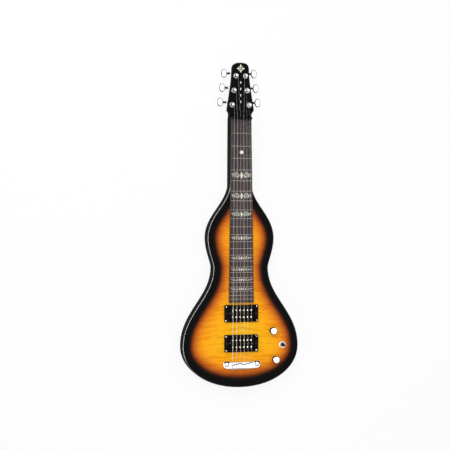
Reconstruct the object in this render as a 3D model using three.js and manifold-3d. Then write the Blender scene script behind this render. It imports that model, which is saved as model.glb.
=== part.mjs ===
// A six-string electric lap steel guitar, lying on its back.
// Millimetres. +Z is up, +Y runs towards the head, +X is the side of the thin strings and the knobs.
// The origin is on the floor, under the middle of the instrument's length and width.
// Everything is laid out from the nut line (y = 0), and the last group moves it to the origin.
import * as THREE from "three";
import { mergeVertices } from "three/addons/utils/BufferGeometryUtils.js";
import Module from "manifold-3d";

const wasm = await Module();
wasm.setup();

// Lengths along the strings: the head before the nut line, and the tail behind the bridge's line
const scaleLength = 647.7;
const headLength = 151.7;
const bridgeToTail = 63.8;
const tailLength = scaleLength + bridgeToTail;

// Clearances, and how far a cut runs past the face it leaves through
const fitGap = 0.3;
const overrun = 6;

// Body: half widths, and how far ahead of the bridge's line they lie
const heelHalfWidth = 30;
const heelAhead = 476.7;
const upperBoutHalfWidth = 90.5;
const upperBoutAhead = 333.5;
const waistHalfWidth = 74.4;
const waistAhead = 254.7;
const lowerBoutHalfWidth = 157.5;
const lowerBoutAhead = 45.7;
const bodyStartAt = scaleLength - heelAhead;
const upperBoutAt = scaleLength - upperBoutAhead;
const waistAt = scaleLength - waistAhead;
const lowerBoutAt = scaleLength - lowerBoutAhead;
// How far each curve's two handles reach, as shares of the stretch between its ends
const shoulderShares = [0.357, 0.425];
const waistInShares = [0.425, 0.18];
const waistOutShares = [0.378, 0.431];
const tailShares = [0.572, 0.572];
const coreThickness = 38.3;
const capThickness = 6.2;
const faceZ = coreThickness + capThickness;
const heelRampLength = 46;

// Neck and head
const nutHalfWidth = 29;
const neckDepth = 37;
const neckBackZ = faceZ - neckDepth;
const tenonHalfWidth = 22;
const tenonLength = 110;
const tenonFloor = 4;
const headDrop = 2.5;
const headThickness = 15;
const headFaceZ = faceZ - headDrop;
const headBackZ = headFaceZ - headThickness;
const headFaceAt = 13;
const headBackAt = 28;
const earHalfWidth = 36.4;
const earAt = 25;
const shoulderHalfWidth = 22.8;
const crownDepth = 18.7;
// Handles of the head's outline, as shares of the half width and of the height they bend in
const earInShares = [0.45, 0.72];
const headSideShares = [0.2, 0.72];
const crownShares = [0.7, 0.8];

// Fingerboard and nut
const boardThickness = 6.5;
const boardNutHalfWidth = 27.2;
const boardEndHalfWidth = 33.4;
const boardToRing = 5.6;
const boardCorner = 3;
const nutThickness = 5.6;
const nutSlotDepth = 1.2;
const boardTopZ = faceZ + boardThickness;

// Strings, the thick one first: string 6 lies on the -X side
const stringDiameters = [1.42, 1.17, 0.86, 0.66, 0.43, 0.33];
const stringAction = 8;
const nutSpread = 42;
const bridgeSpread = 52;
const stringRestZ = boardTopZ + stringAction;
const stringHalfSides = 3;
const wrapSteps = 7;
const wrapBulge = 3;

// Bridge: a bar on two studs, with a stepped ridge that each string breaks over
const bridgeHalfLength = 50.2;
const bridgeFront = 8.2;
const bridgeFrontStep = 2.7;
const bridgeWidth = 20;
const bridgeBow = 2;
const bridgeLift = 3;
const bridgeFrontRadius = 7;
const bridgeRearRadius = 10;
const ridgeHeight = 2.6;
const ridgeWidth = 2.6;
const ridgeMargin = 3.4;
const ridgeTravel = 6;
// How far back each string's step lies, as shares of the ridge's travel
const ridgeStepShares = [1, 0.62, 0.25, 0.72, 0.4, 0.05];
const bridgeTailDrop = 4.2;
const studSpacing = 82.4;
const studShankRadius = 4;
const studNeckRadius = 3.6;
const studFlangeRadius = 6.6;
const studFlangeThickness = 1.8;
const studHeadRadius = 5.6;
const studHeadThickness = 2.2;
const studDepth = 22;
const studDriverWidth = 1.4;
const studDriverDepth = 1.3;
const earThickness = 6;

// Pickups: two coils side by side in a ring, ahead of the bridge's line
const neckPickupAhead = 133.5;
const bridgePickupAhead = 53.9;
const pickupAt = [scaleLength - neckPickupAhead, scaleLength - bridgePickupAhead];
const ringHalfLength = 45.7;
const ringHalfWidth = 22.8;
const ringHeight = 7;
const ringCorner = 3.2;
const ringWindowHalfLength = 35.2;
const ringWindowHalfWidth = 19.3;
const coilGap = 0.6;
const coilHalfLength = 33.4;
const coilWidth = 17.6;
const coilFlange = 1.6;
const coilWaist = 1.3;
// Corner radii of a coil's flanges and of its waist, as shares of its half width
const flangeCornerShare = 0.9;
const waistCornerShare = 0.7;
const coilHeight = 10.4;
const poleSpread = 50;
const poleRadius = 2.3;
const poleProud = 0.6;
const poleLength = 22;
const poleToString = 3.4;
const magnetHalfLength = 30;
const magnetThickness = 3.2;
const baseThickness = 1.2;
const baseHalfLength = 34;
const baseHalfWidth = 18.4;
const baseCorner = 1;
const legHalfWidth = 5;
const legReach = 42.6;
const legDrop = 5;
const heightScrewAt = 39.6;
const heightScrewRadius = 1.5;
const heightScrewHeadRadius = 2.5;
const heightScrewHeadHeight = 1.4;
const heightScrewLength = 26;
const routeHalfLength = 43.2;
const routeHalfWidth = 20.4;
const routeCorner = 4;
const routeSpare = 4;
const pickupTravelDown = 3;

// Controls: two knobs on potentiometers, with a three-way switch between them.
// Each lies in from the body's widest line, and ahead of the bridge's line
const volumeInset = 69.9;
const volumeAhead = 85.2;
const toneInset = 62.8;
const toneAhead = 8.2;
const switchInset = 43.7;
const switchAhead = 47.4;
const volumePlace = [lowerBoutHalfWidth - volumeInset, volumeAhead - scaleLength];
const tonePlace = [lowerBoutHalfWidth - toneInset, toneAhead - scaleLength];
const switchPlace = [lowerBoutHalfWidth - switchInset, switchAhead - scaleLength];
const controlWall = 8.5;
const controlCeilingZ = faceZ - controlWall;
const knobRadius = 9.5;
const knobHeight = 14.6;
const knobTopRadius = 7.4;
const knobBevel = 2.1;
const knobLift = 0.6;
const knobRecessRadius = 7.8;
const knobRecessDepth = 4.2;
const knobRoof = 3;
const shaftRadius = 3;
const shaftDepth = 5.5;
const potRadius = 12;
const potHeight = 9;
const potBushRadius = 4.7;
const potBushProud = 2.4;
const potNutRadius = 6.6;
const potNutHeight = 1.6;
const switchHalfLength = 12;
const switchHalfWidth = 7;
const switchHeight = 17;
const switchBushRadius = 5.9;
const switchBoreRadius = 4.5;
const switchNutRadius = 9.4;
const switchNutHeight = 3;
const leverRadius = 1.6;
const leverPivotDepth = 5.4;
const leverBallRadius = 2.8;
const leverTipStart = 5.2;
const leverTipLength = 14.4;
const leverTipRadius = 4.3;
const leverTipTopRadius = 3.4;
const leverTipRound = 1.5;

// Cavity for the controls, its cover on the back, and the channels for the wires
const cavityMargin = 3.5;
const cavityCorner = 13;
const coverLedge = 5;
const coverThickness = 2.4;
const channelRadius = 4;

// Output jack in a round cup, on the edge of the lower bout
const jackZ = coreThickness / 2;
const cupFlangeRadius = 12.5;
const cupFlangeThickness = 1.2;
const cupRadius = 10.5;
const cupWall = 1.2;
const cupDepth = 12;
const cupSink = 0.5;
const spotFaceDepth = cupSink + cupFlangeThickness + fitGap;
const jackBushRadius = 4.75;
const jackBushProud = 3.2;
const jackNutRadius = 7;
const jackNutThickness = 2.2;
const jackBoreRadius = 3.3;
const jackBodyRadius = 8.4;
const jackBodyLength = 13;
const jackEndWall = 1.5;

// Tuning machines: three a side, a worm on the button's shaft turns a wheel on the post
const tunersPerSide = 3;
const firstPostAt = 39.2;
const postPitch = 38.6;
const firstPostSpread = 23.1;
const postSpreadStep = 5.15;
const postRadius = 3;
const postWaistRadius = 2.4;
const postHeight = 13;
const postHoleRadius = 0.95;
const stringOnPost = 7;
const bushRadius = 4.7;
const bushFlangeRadius = 7;
const bushFlangeThickness = 1.3;
const bushCollarRadius = 5.4;
const bushCollarThickness = 1.5;
const bushDepth = 9;
const wheelTeeth = 14;
const wheelRadius = 6;
const wheelRootRadius = 5.1;
const wheelThickness = 4;
const wormRadius = 2.5;
const wormLength = 12;
const wormOffset = wheelRadius + wormRadius + fitGap;
const wormDrop = 6.6;
const housingHalfWidth = 9.4;
const housingWall = 1.6;
const housingFloor = 2;
const housingCorner = 3.5;
const shaftCollarRadius = 3.9;
const shaftCollarLength = 2.4;
const buttonShaftRadius = 2.3;
const buttonReach = 27.8;
const buttonHalfLength = 11.2;
const buttonHalfWidth = 7.3;
const buttonThickness = 6.4;
const buttonNeckShare = 0.3;
const buttonCornerShare = 0.52;
const buttonBevel = 1.5;

// Facets of the round forms
const outlineSegments = 9;
const roundSides = 18;
const smallSides = 10;
const tinySides = 8;
const hexSides = 6;
const bridgeSegments = 4;
const cornerSegments = 2;

// Colour, metalness and roughness of each finish
const finishes = {
  lacquer: { color: 0x0d0d10, metalness: 0, roughness: 0.12 },
  flamedMaple: { color: 0xf2a21c, metalness: 0, roughness: 0.15 },
  rosewood: { color: 0x3a2a28, metalness: 0, roughness: 0.55 },
  blackBone: { color: 0x141416, metalness: 0, roughness: 0.4 },
  blackPlastic: { color: 0x101012, metalness: 0, roughness: 0.35 },
  chrome: { color: 0xd8dadd, metalness: 1, roughness: 0.08 },
  nickelSteel: { color: 0xb9b6b0, metalness: 1, roughness: 0.3 },
  stringSteel: { color: 0xbab8b6, metalness: 1, roughness: 0.28 },
  brass: { color: 0xb8924a, metalness: 1, roughness: 0.35 },
  zinc: { color: 0x9a9c9e, metalness: 1, roughness: 0.45 },
};

// A closed geometry as a solid that can be cut and joined
function solidOf(geometry) {
  const plain = geometry.index ? geometry.toNonIndexed() : geometry;
  const bare = new THREE.BufferGeometry();
  bare.setAttribute("position", plain.getAttribute("position"));
  const merged = mergeVertices(bare);
  return new wasm.Manifold(
    new wasm.Mesh({
      numProp: 3,
      vertProperties: merged.getAttribute("position").array,
      triVerts: new Uint32Array(merged.index.array),
    }),
  );
}

// A solid as a named mesh with a material of its own
function piece(name, solid, finish) {
  const made = solid.getMesh();
  const geometry = new THREE.BufferGeometry();
  geometry.setAttribute("position", new THREE.BufferAttribute(made.vertProperties, 3));
  geometry.setIndex(new THREE.BufferAttribute(made.triVerts, 1));
  geometry.computeVertexNormals();
  const mesh = new THREE.Mesh(geometry, new THREE.MeshStandardMaterial(finishes[finish]));
  mesh.name = name;
  return mesh;
}

function joined(solids) {
  return solids.reduce((whole, next) => whole.add(next));
}

function cut(solid, tools) {
  return tools.reduce((whole, tool) => whole.subtract(tool), solid);
}

// A flat outline drawn in X and Y, standing between two heights
function prism(shape, bottom, top, segments = cornerSegments) {
  const settings = { depth: top - bottom, bevelEnabled: false, curveSegments: segments };
  return solidOf(new THREE.ExtrudeGeometry(shape, settings).translate(0, 0, bottom));
}

// A side view drawn in Y and Z, reaching from one X to another
function sidePrism(shape, left, right, segments = cornerSegments) {
  const settings = { depth: right - left, bevelEnabled: false, curveSegments: segments };
  const turn = new THREE.Matrix4().makeBasis(
    new THREE.Vector3(0, 1, 0),
    new THREE.Vector3(0, 0, 1),
    new THREE.Vector3(1, 0, 0),
  );
  const geometry = new THREE.ExtrudeGeometry(shape, settings).applyMatrix4(turn);
  return solidOf(geometry.translate(left, 0, 0));
}

// A block between two corners
function block(low, high) {
  const size = high.map((value, axis) => value - low[axis]);
  const middle = high.map((value, axis) => (value + low[axis]) / 2);
  return solidOf(new THREE.BoxGeometry(...size).translate(...middle));
}

// A round rod between two points
function rod(radius, start, end, sides = smallSides) {
  const from = new THREE.Vector3(...start);
  const to = new THREE.Vector3(...end);
  const along = to.clone().sub(from);
  const geometry = new THREE.CylinderGeometry(radius, radius, along.length(), sides);
  const up = new THREE.Vector3(0, 1, 0);
  const turn = new THREE.Quaternion().setFromUnitVectors(up, along.normalize());
  geometry.applyQuaternion(turn);
  const middle = from.add(to).multiplyScalar(1 / 2);
  return solidOf(geometry.translate(middle.x, middle.y, middle.z));
}

// An upright turned form: its profile lists radius and height from the foot on the axis to the top
function turned(profile, place, sides = roundSides) {
  const points = profile.map(([radius, height]) => new THREE.Vector2(radius, height));
  const geometry = new THREE.LatheGeometry(points, sides).rotateX(Math.PI / 2);
  return solidOf(geometry.translate(place[0], place[1], 0));
}

// A rectangle with round corners
function roundedRectangle(left, right, back, front, corner) {
  const shape = new THREE.Shape();
  shape.absarc(right - corner, front - corner, corner, 0, Math.PI / 2);
  shape.absarc(left + corner, front - corner, corner, Math.PI / 2, Math.PI);
  shape.absarc(left + corner, back + corner, corner, Math.PI, Math.PI * 1.5);
  shape.absarc(right - corner, back + corner, corner, Math.PI * 1.5, Math.PI * 2);
  return shape;
}

function centredRectangle(halfLength, y, halfWidth, corner) {
  return roundedRectangle(-halfLength, halfLength, y - halfWidth, y + halfWidth, corner);
}

function polygon(points) {
  return new THREE.Shape(points.map(([x, y]) => new THREE.Vector2(x, y)));
}

// An outline that goes round through curves on the +X side, and then back through their mirror images.
// Each curve lists its two handles and its end
function mirroredOutline(start, curves) {
  const shape = new THREE.Shape();
  shape.moveTo(...start);
  for (const curve of curves) {
    shape.bezierCurveTo(...curve);
  }
  const starts = [start, ...curves.map((curve) => curve.slice(4))];
  for (let index = curves.length - 1; index >= 0; index -= 1) {
    const [x1, y1, x2, y2] = curves[index];
    const [x0, y0] = starts[index];
    shape.bezierCurveTo(-x2, y2, -x1, y1, -x0, y0);
  }
  return shape;
}

// The body seen from above, from the heel over the two bouts to the tail
function bodyOutline() {
  const stations = [
    [heelHalfWidth, -bodyStartAt],
    [upperBoutHalfWidth, -upperBoutAt],
    [waistHalfWidth, -waistAt],
    [lowerBoutHalfWidth, -lowerBoutAt],
  ];
  const curves = [shoulderShares, waistInShares, waistOutShares].map(([leave, arrive], index) => {
    const [x0, y0] = stations[index];
    const [x1, y1] = stations[index + 1];
    const drop = y0 - y1;
    return [x0, y0 - leave * drop, x1, y1 + arrive * drop, x1, y1];
  });
  const leaveY = -lowerBoutAt - (tailLength - lowerBoutAt) * tailShares[0];
  const arriveX = lowerBoutHalfWidth * tailShares[1];
  curves.push([lowerBoutHalfWidth, leaveY, arriveX, -tailLength, 0, -tailLength]);
  return mirroredOutline(stations[0], curves);
}

// The neck and head seen from above: the ears beside the nut, the hollow sides and the crown
function neckOutline() {
  const shoulderAt = headLength - crownDepth;
  const sideLength = shoulderAt - earAt;
  const sideTaper = earHalfWidth - shoulderHalfWidth;
  const curves = [
    [nutHalfWidth, earAt * earInShares[0], nutHalfWidth, earAt * earInShares[1], earHalfWidth, earAt],
    [
      earHalfWidth - sideTaper * headSideShares[0],
      earAt + sideLength * headSideShares[0],
      shoulderHalfWidth,
      earAt + sideLength * headSideShares[1],
      shoulderHalfWidth,
      shoulderAt,
    ],
    [
      shoulderHalfWidth,
      shoulderAt + crownDepth * crownShares[0],
      shoulderHalfWidth * crownShares[1],
      headLength,
      0,
      headLength,
    ],
  ];
  const shape = mirroredOutline([nutHalfWidth, 0], curves);
  shape.lineTo(-heelHalfWidth, -bodyStartAt);
  shape.lineTo(heelHalfWidth, -bodyStartAt);
  return shape;
}

// The neck and head seen from the side: the head is thinner, and its face lies a little lower
function neckSide() {
  const shape = new THREE.Shape();
  const bend = headBackAt / 2;
  shape.moveTo(-bodyStartAt, neckBackZ);
  shape.lineTo(0, neckBackZ);
  shape.bezierCurveTo(bend, neckBackZ, bend, headBackZ, headBackAt, headBackZ);
  shape.lineTo(headLength, headBackZ);
  shape.lineTo(headLength, headFaceZ);
  shape.lineTo(headFaceAt, headFaceZ);
  shape.lineTo(nutThickness, faceZ);
  shape.lineTo(-bodyStartAt, faceZ);
  return shape;
}

// Heights in a pickup, from the strings down
const poleTopZ = stringRestZ - poleToString;
const coilTopZ = poleTopZ - poleProud;
const coilBottomZ = coilTopZ - coilHeight;
const magnetTopZ = coilBottomZ - fitGap;
const magnetBottomZ = magnetTopZ - magnetThickness;
const baseTopZ = magnetBottomZ - fitGap;
const baseBottomZ = baseTopZ - baseThickness;
const poleBottomZ = poleTopZ - poleLength;
const heightScrewBottomZ = faceZ + ringHeight - heightScrewLength;
const routeFloorZ = Math.min(poleBottomZ - pickupTravelDown, heightScrewBottomZ) - routeSpare;

// The controls' cavity, seen from above
const cavity = {
  left: volumePlace[0] - potRadius - cavityMargin,
  right: switchPlace[0] + potRadius + cavityMargin,
  back: tonePlace[1] - potRadius - cavityMargin,
  front: volumePlace[1] + potRadius + cavityMargin,
};

function cavityShape(grow) {
  return roundedRectangle(
    cavity.left - grow,
    cavity.right + grow,
    cavity.back - grow,
    cavity.front + grow,
    cavityCorner + grow,
  );
}

// What passes through both the core and the cap: pickup routes, stud holes, and the controls' holes
function facePassages() {
  const routes = pickupAt.map((at) => {
    const shape = centredRectangle(routeHalfLength, -at, routeHalfWidth, routeCorner);
    return prism(shape, routeFloorZ, faceZ + overrun);
  });
  const studs = [-1, 1].map((side) => {
    const x = (side * studSpacing) / 2;
    const radius = studShankRadius + fitGap;
    const bottom = faceZ - studDepth - fitGap;
    return rod(radius, [x, -scaleLength, bottom], [x, -scaleLength, faceZ + overrun], roundSides);
  });
  const bushings = [
    [volumePlace, potBushRadius],
    [tonePlace, potBushRadius],
    [switchPlace, switchBushRadius],
  ];
  const holes = bushings.map(([place, radius]) =>
    rod(radius + fitGap, [...place, controlCeilingZ - overrun], [...place, faceZ + overrun], roundSides),
  );
  return [...routes, ...studs, ...holes];
}

function bodyCore() {
  const blank = prism(bodyOutline(), 0, coreThickness, outlineSegments);
  const pocketHalf = tenonHalfWidth + fitGap;
  const pocketEnd = -bodyStartAt - tenonLength - fitGap;
  const pocketFloor = neckBackZ + tenonFloor - fitGap;
  const neckPocket = block(
    [-pocketHalf, pocketEnd, pocketFloor],
    [pocketHalf, -bodyStartAt + overrun, coreThickness + overrun],
  );
  const ramp = new THREE.Shape();
  ramp.moveTo(-bodyStartAt + overrun, -overrun);
  ramp.lineTo(-bodyStartAt + overrun, neckBackZ);
  ramp.lineTo(-bodyStartAt, neckBackZ);
  ramp.bezierCurveTo(
    -bodyStartAt - heelRampLength / 3, neckBackZ,
    -bodyStartAt - heelRampLength / 2, 0,
    -bodyStartAt - heelRampLength, 0,
  );
  ramp.lineTo(-bodyStartAt - heelRampLength, -overrun);
  const heelRamp = sidePrism(ramp, -upperBoutHalfWidth, upperBoutHalfWidth, outlineSegments);
  const controlPocket = prism(cavityShape(0), -overrun, controlCeilingZ);
  const coverPocket = prism(cavityShape(coverLedge), -overrun, coverThickness + fitGap);
  const channelZ = routeFloorZ + channelRadius * 2;
  const crossChannel = rod(
    channelRadius,
    [0, -pickupAt[1], channelZ],
    [cavity.left + overrun, -pickupAt[1], channelZ],
  );
  const longChannel = rod(channelRadius, [0, -pickupAt[0], channelZ], [0, -pickupAt[1], channelZ]);
  const jackBore = rod(
    cupRadius + fitGap,
    [cavity.right - overrun, -lowerBoutAt, jackZ],
    [lowerBoutHalfWidth + overrun, -lowerBoutAt, jackZ],
    roundSides,
  );
  const spotFace = rod(
    cupFlangeRadius + fitGap,
    [lowerBoutHalfWidth - spotFaceDepth, -lowerBoutAt, jackZ],
    [lowerBoutHalfWidth + overrun, -lowerBoutAt, jackZ],
    roundSides,
  );
  const pockets = [neckPocket, heelRamp, controlPocket, coverPocket];
  const bores = [crossChannel, longChannel, jackBore, spotFace];
  return piece("body_core", cut(blank, [...pockets, ...bores, ...facePassages()]), "lacquer");
}

function mapleTop() {
  const blank = prism(bodyOutline(), coreThickness, faceZ, outlineSegments);
  return piece("maple_top", cut(blank, facePassages()), "flamedMaple");
}

function neck() {
  const fromAbove = prism(neckOutline(), 0, faceZ, outlineSegments);
  const fromSide = sidePrism(neckSide(), -earHalfWidth, earHalfWidth, outlineSegments);
  const tenonRoot = -bodyStartAt + overrun;
  const tenon = block(
    [-tenonHalfWidth, -bodyStartAt - tenonLength, neckBackZ + tenonFloor],
    [tenonHalfWidth, tenonRoot, coreThickness - fitGap],
  );
  const holes = tunerPlaces().map(({ x, y }) =>
    rod(bushRadius + fitGap, [x, y, headBackZ - overrun], [x, y, headFaceZ + overrun], smallSides),
  );
  return piece("neck", cut(fromAbove.intersect(fromSide).add(tenon), holes), "lacquer");
}

// The rear end of the board has small round corners, and it tapers towards the nut
function fretboard() {
  const boardEnd = pickupAt[0] - ringHalfWidth - boardToRing;
  const shape = new THREE.Shape();
  shape.moveTo(boardNutHalfWidth, 0);
  shape.lineTo(-boardNutHalfWidth, 0);
  shape.lineTo(-boardEndHalfWidth, -boardEnd + boardCorner);
  shape.quadraticCurveTo(-boardEndHalfWidth, -boardEnd, -boardEndHalfWidth + boardCorner, -boardEnd);
  shape.lineTo(boardEndHalfWidth - boardCorner, -boardEnd);
  shape.quadraticCurveTo(boardEndHalfWidth, -boardEnd, boardEndHalfWidth, -boardEnd + boardCorner);
  return piece("fretboard", prism(shape, faceZ, boardTopZ), "rosewood");
}

// Where a string lies across the instrument, counted from the thick one, at a given spread
function stringX(index, spread) {
  return (index / (stringDiameters.length - 1) - 1 / 2) * spread;
}

function nut() {
  const top = stringRestZ + nutSlotDepth;
  const blank = block([-boardNutHalfWidth, 0, faceZ], [boardNutHalfWidth, nutThickness, top]);
  const slots = stringDiameters.map((diameter, index) => {
    const x = stringX(index, nutSpread);
    const half = diameter / 2 + fitGap;
    return block(
      [x - half, -overrun, stringRestZ - fitGap],
      [x + half, nutThickness + overrun, top + overrun],
    );
  });
  return piece("nut", cut(blank, slots), "blackBone");
}

// Heights and places in the bridge
const ridgeTopZ = stringRestZ - fitGap;
const barTopZ = ridgeTopZ - ridgeHeight;
const barBottomZ = faceZ + bridgeLift;
const bridgeFrontY = -scaleLength + bridgeFront;
const bridgeRearY = bridgeFrontY - bridgeWidth - bridgeBow;
const earTopZ = barBottomZ + earThickness;

// Where the ridge lies under a string
function ridgeY(index) {
  return -scaleLength - ridgeStepShares[index] * ridgeTravel + ridgeTravel / 2;
}

// The bar bows towards the tail, and its top slopes down behind the ridge.
// Between the two studs its front lies a step further back than at its ends
function bridgeBar() {
  const plan = new THREE.Shape();
  const frontX = bridgeHalfLength - bridgeFrontRadius;
  const rearX = bridgeHalfLength - bridgeRearRadius;
  const frontY = bridgeFrontY - bridgeFrontRadius;
  const rearY = bridgeFrontY - bridgeWidth + bridgeRearRadius;
  const stepX = studSpacing / 2;
  const stepY = bridgeFrontY - bridgeFrontStep;
  const bowX = bridgeSpread / 2;
  plan.moveTo(frontX, bridgeFrontY);
  plan.lineTo(stepX, bridgeFrontY);
  plan.lineTo(stepX, stepY);
  plan.lineTo(-stepX, stepY);
  plan.lineTo(-stepX, bridgeFrontY);
  plan.absarc(-frontX, frontY, bridgeFrontRadius, Math.PI / 2, Math.PI);
  plan.absarc(-rearX, rearY, bridgeRearRadius, Math.PI, Math.PI * 1.5);
  plan.quadraticCurveTo(-bowX, bridgeRearY, 0, bridgeRearY);
  plan.quadraticCurveTo(bowX, bridgeRearY, rearX, rearY - bridgeRearRadius);
  plan.absarc(rearX, rearY, bridgeRearRadius, -Math.PI / 2, 0);
  plan.absarc(frontX, frontY, bridgeFrontRadius, 0, Math.PI / 2);
  const side = new THREE.Shape();
  const ridgeRoom = (ridgeTravel + ridgeWidth) / 2;
  const tailZ = barTopZ - bridgeTailDrop;
  side.moveTo(bridgeFrontY + overrun, barBottomZ);
  side.lineTo(bridgeFrontY + overrun, barTopZ - ridgeHeight);
  side.lineTo(bridgeFrontY, barTopZ - ridgeHeight);
  side.lineTo(-scaleLength + ridgeRoom, barTopZ);
  side.lineTo(-scaleLength - ridgeRoom, barTopZ);
  side.quadraticCurveTo(bridgeRearY, barTopZ - bridgeTailDrop / 2, bridgeRearY - overrun, tailZ);
  side.lineTo(bridgeRearY - overrun, barBottomZ);
  const bar = prism(plan, barBottomZ, barTopZ, bridgeSegments);
  return bar.intersect(sidePrism(side, -bridgeHalfLength, bridgeHalfLength, bridgeSegments));
}

// The stepped ridge: each string has its own step
function bridgeRidge() {
  const last = stringDiameters.length - 1;
  const reach = bridgeSpread / last / 2;
  const steps = stringDiameters.map((diameter, index) => {
    const x = stringX(index, bridgeSpread);
    const y = ridgeY(index);
    const left = index === 0 ? ridgeMargin : reach;
    const right = index === last ? ridgeMargin : reach;
    return block(
      [x - left, y - ridgeWidth / 2, barTopZ - ridgeHeight],
      [x + right, y + ridgeWidth / 2, ridgeTopZ],
    );
  });
  const joints = steps.slice(1).map((step, index) => {
    const x = (stringX(index, bridgeSpread) + stringX(index + 1, bridgeSpread)) / 2;
    const half = ridgeWidth / 2;
    const low = Math.min(ridgeY(index), ridgeY(index + 1)) - half;
    const high = Math.max(ridgeY(index), ridgeY(index + 1)) + half;
    return block([x - half, low, barTopZ - ridgeHeight], [x + half, high, ridgeTopZ]);
  });
  return joined([...steps, ...joints]);
}

function bridge() {
  const cuts = [
    [studNeckRadius + fitGap, barBottomZ - overrun],
    [studHeadRadius + fitGap, earTopZ],
  ];
  const front = bridgeFrontY + overrun;
  const top = barTopZ + overrun;
  const slots = [-1, 1].flatMap((side) => {
    const x = (side * studSpacing) / 2;
    return cuts.flatMap(([half, bottom]) => [
      rod(half, [x, -scaleLength, bottom], [x, -scaleLength, top], roundSides),
      block([x - half, -scaleLength, bottom], [x + half, front, top]),
    ]);
  });
  return piece("bridge", cut(bridgeBar().add(bridgeRidge()), slots), "chrome");
}

// A stud screws into the body. Its flange carries the bridge, and its head holds it down
function bridgeStud(side) {
  const x = (side * studSpacing) / 2;
  const flangeTop = barBottomZ - fitGap;
  const flangeBottom = flangeTop - studFlangeThickness;
  const headBottom = earTopZ + fitGap;
  const headTop = headBottom + studHeadThickness;
  const profile = [
    [0, faceZ - studDepth],
    [studShankRadius, faceZ - studDepth],
    [studShankRadius, flangeBottom],
    [studFlangeRadius, flangeBottom],
    [studFlangeRadius, flangeTop],
    [studNeckRadius, flangeTop],
    [studNeckRadius, headBottom],
    [studHeadRadius, headBottom],
    [studHeadRadius, headTop],
    [0, headTop],
  ];
  const driver = block(
    [x - studHeadRadius - overrun, -scaleLength - studDriverWidth / 2, headTop - studDriverDepth],
    [x + studHeadRadius + overrun, -scaleLength + studDriverWidth / 2, headTop + overrun],
  );
  const name = side < 0 ? "bridge_stud_bass" : "bridge_stud_treble";
  return piece(name, turned(profile, [x, -scaleLength]).subtract(driver), "chrome");
}

// A row of upright rods, one under each string
function poleRow(y, radius, bottom, top) {
  return stringDiameters.map((diameter, index) => {
    const x = stringX(index, poleSpread);
    return rod(radius, [x, y, bottom], [x, y, top], tinySides);
  });
}

function pickup(label, at) {
  const y = -at;
  const ringTopZ = faceZ + ringHeight;
  const ringBlank = prism(centredRectangle(ringHalfLength, y, ringHalfWidth, ringCorner), faceZ, ringTopZ);
  const ringWindow = prism(
    centredRectangle(ringWindowHalfLength, y, ringWindowHalfWidth, ringCorner),
    faceZ - overrun,
    ringTopZ + overrun,
  );
  const screwHeadTopZ = ringTopZ + heightScrewHeadHeight;
  const screws = [-1, 1].flatMap((side) => {
    const x = side * heightScrewAt;
    return [
      rod(heightScrewRadius, [x, y, heightScrewBottomZ], [x, y, ringTopZ], tinySides),
      rod(heightScrewHeadRadius, [x, y, ringTopZ - ringHeight / 2], [x, y, screwHeadTopZ]),
    ];
  });
  const ring = joined([ringBlank.subtract(ringWindow), ...screws]);

  const base = prism(centredRectangle(baseHalfLength, y, baseHalfWidth, baseCorner), baseBottomZ, baseTopZ);
  const legs = [-1, 1].flatMap((side) => {
    const inner = side * (baseHalfLength - baseThickness);
    const fold = side * baseHalfLength;
    const tip = side * legReach;
    const foot = baseBottomZ - legDrop;
    return [
      block(
        [Math.min(inner, fold), y - legHalfWidth, foot],
        [Math.max(inner, fold), y + legHalfWidth, baseTopZ],
      ),
      block(
        [Math.min(inner, tip), y - legHalfWidth, foot],
        [Math.max(inner, tip), y + legHalfWidth, foot + baseThickness],
      ),
    ];
  });
  const screwHoles = [-1, 1].map((side) => {
    const x = side * heightScrewAt;
    const bottom = baseBottomZ - legDrop - overrun;
    return rod(heightScrewRadius + fitGap, [x, y, bottom], [x, y, baseTopZ + overrun]);
  });
  const rowY = [1, -1].map((side) => y + (side * (coilWidth + coilGap)) / 2);
  const poleHoles = poleRow(rowY[0], poleRadius + fitGap, poleBottomZ - overrun, baseTopZ + overrun);
  const baseplate = cut(joined([base, ...legs]), [...screwHoles, ...poleHoles]);

  const coils = rowY.map((row) => {
    const half = coilWidth / 2;
    const waist = half - coilWaist;
    const flangeShape = centredRectangle(coilHalfLength, row, half, half * flangeCornerShare);
    const waistShape = centredRectangle(coilHalfLength - coilWaist, row, waist, half * waistCornerShare);
    const spool = joined([
      prism(flangeShape, coilBottomZ, coilBottomZ + coilFlange),
      prism(waistShape, coilBottomZ, coilTopZ),
      prism(flangeShape, coilTopZ - coilFlange, coilTopZ),
    ]);
    return cut(spool, poleRow(row, poleRadius + fitGap, coilBottomZ - overrun, coilTopZ + overrun));
  });

  const magnet = block(
    [-magnetHalfLength, rowY[1] - poleRadius, magnetBottomZ],
    [magnetHalfLength, rowY[0] + poleRadius, magnetTopZ],
  );
  const screwPoles = poleRow(rowY[0], poleRadius, poleBottomZ, poleTopZ);
  const slugPoles = poleRow(rowY[1], poleRadius, magnetBottomZ, poleTopZ);
  const poles = joined([magnet, ...screwPoles, ...slugPoles]);

  return [
    piece(`${label}_pickup_ring`, ring, "blackPlastic"),
    piece(`${label}_pickup_baseplate`, baseplate, "nickelSteel"),
    piece(`${label}_pickup_screw_coil`, coils[0], "blackPlastic"),
    piece(`${label}_pickup_slug_coil`, coils[1], "blackPlastic"),
    piece(`${label}_pickup_magnet_and_poles`, poles, "nickelSteel"),
  ];
}

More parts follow.
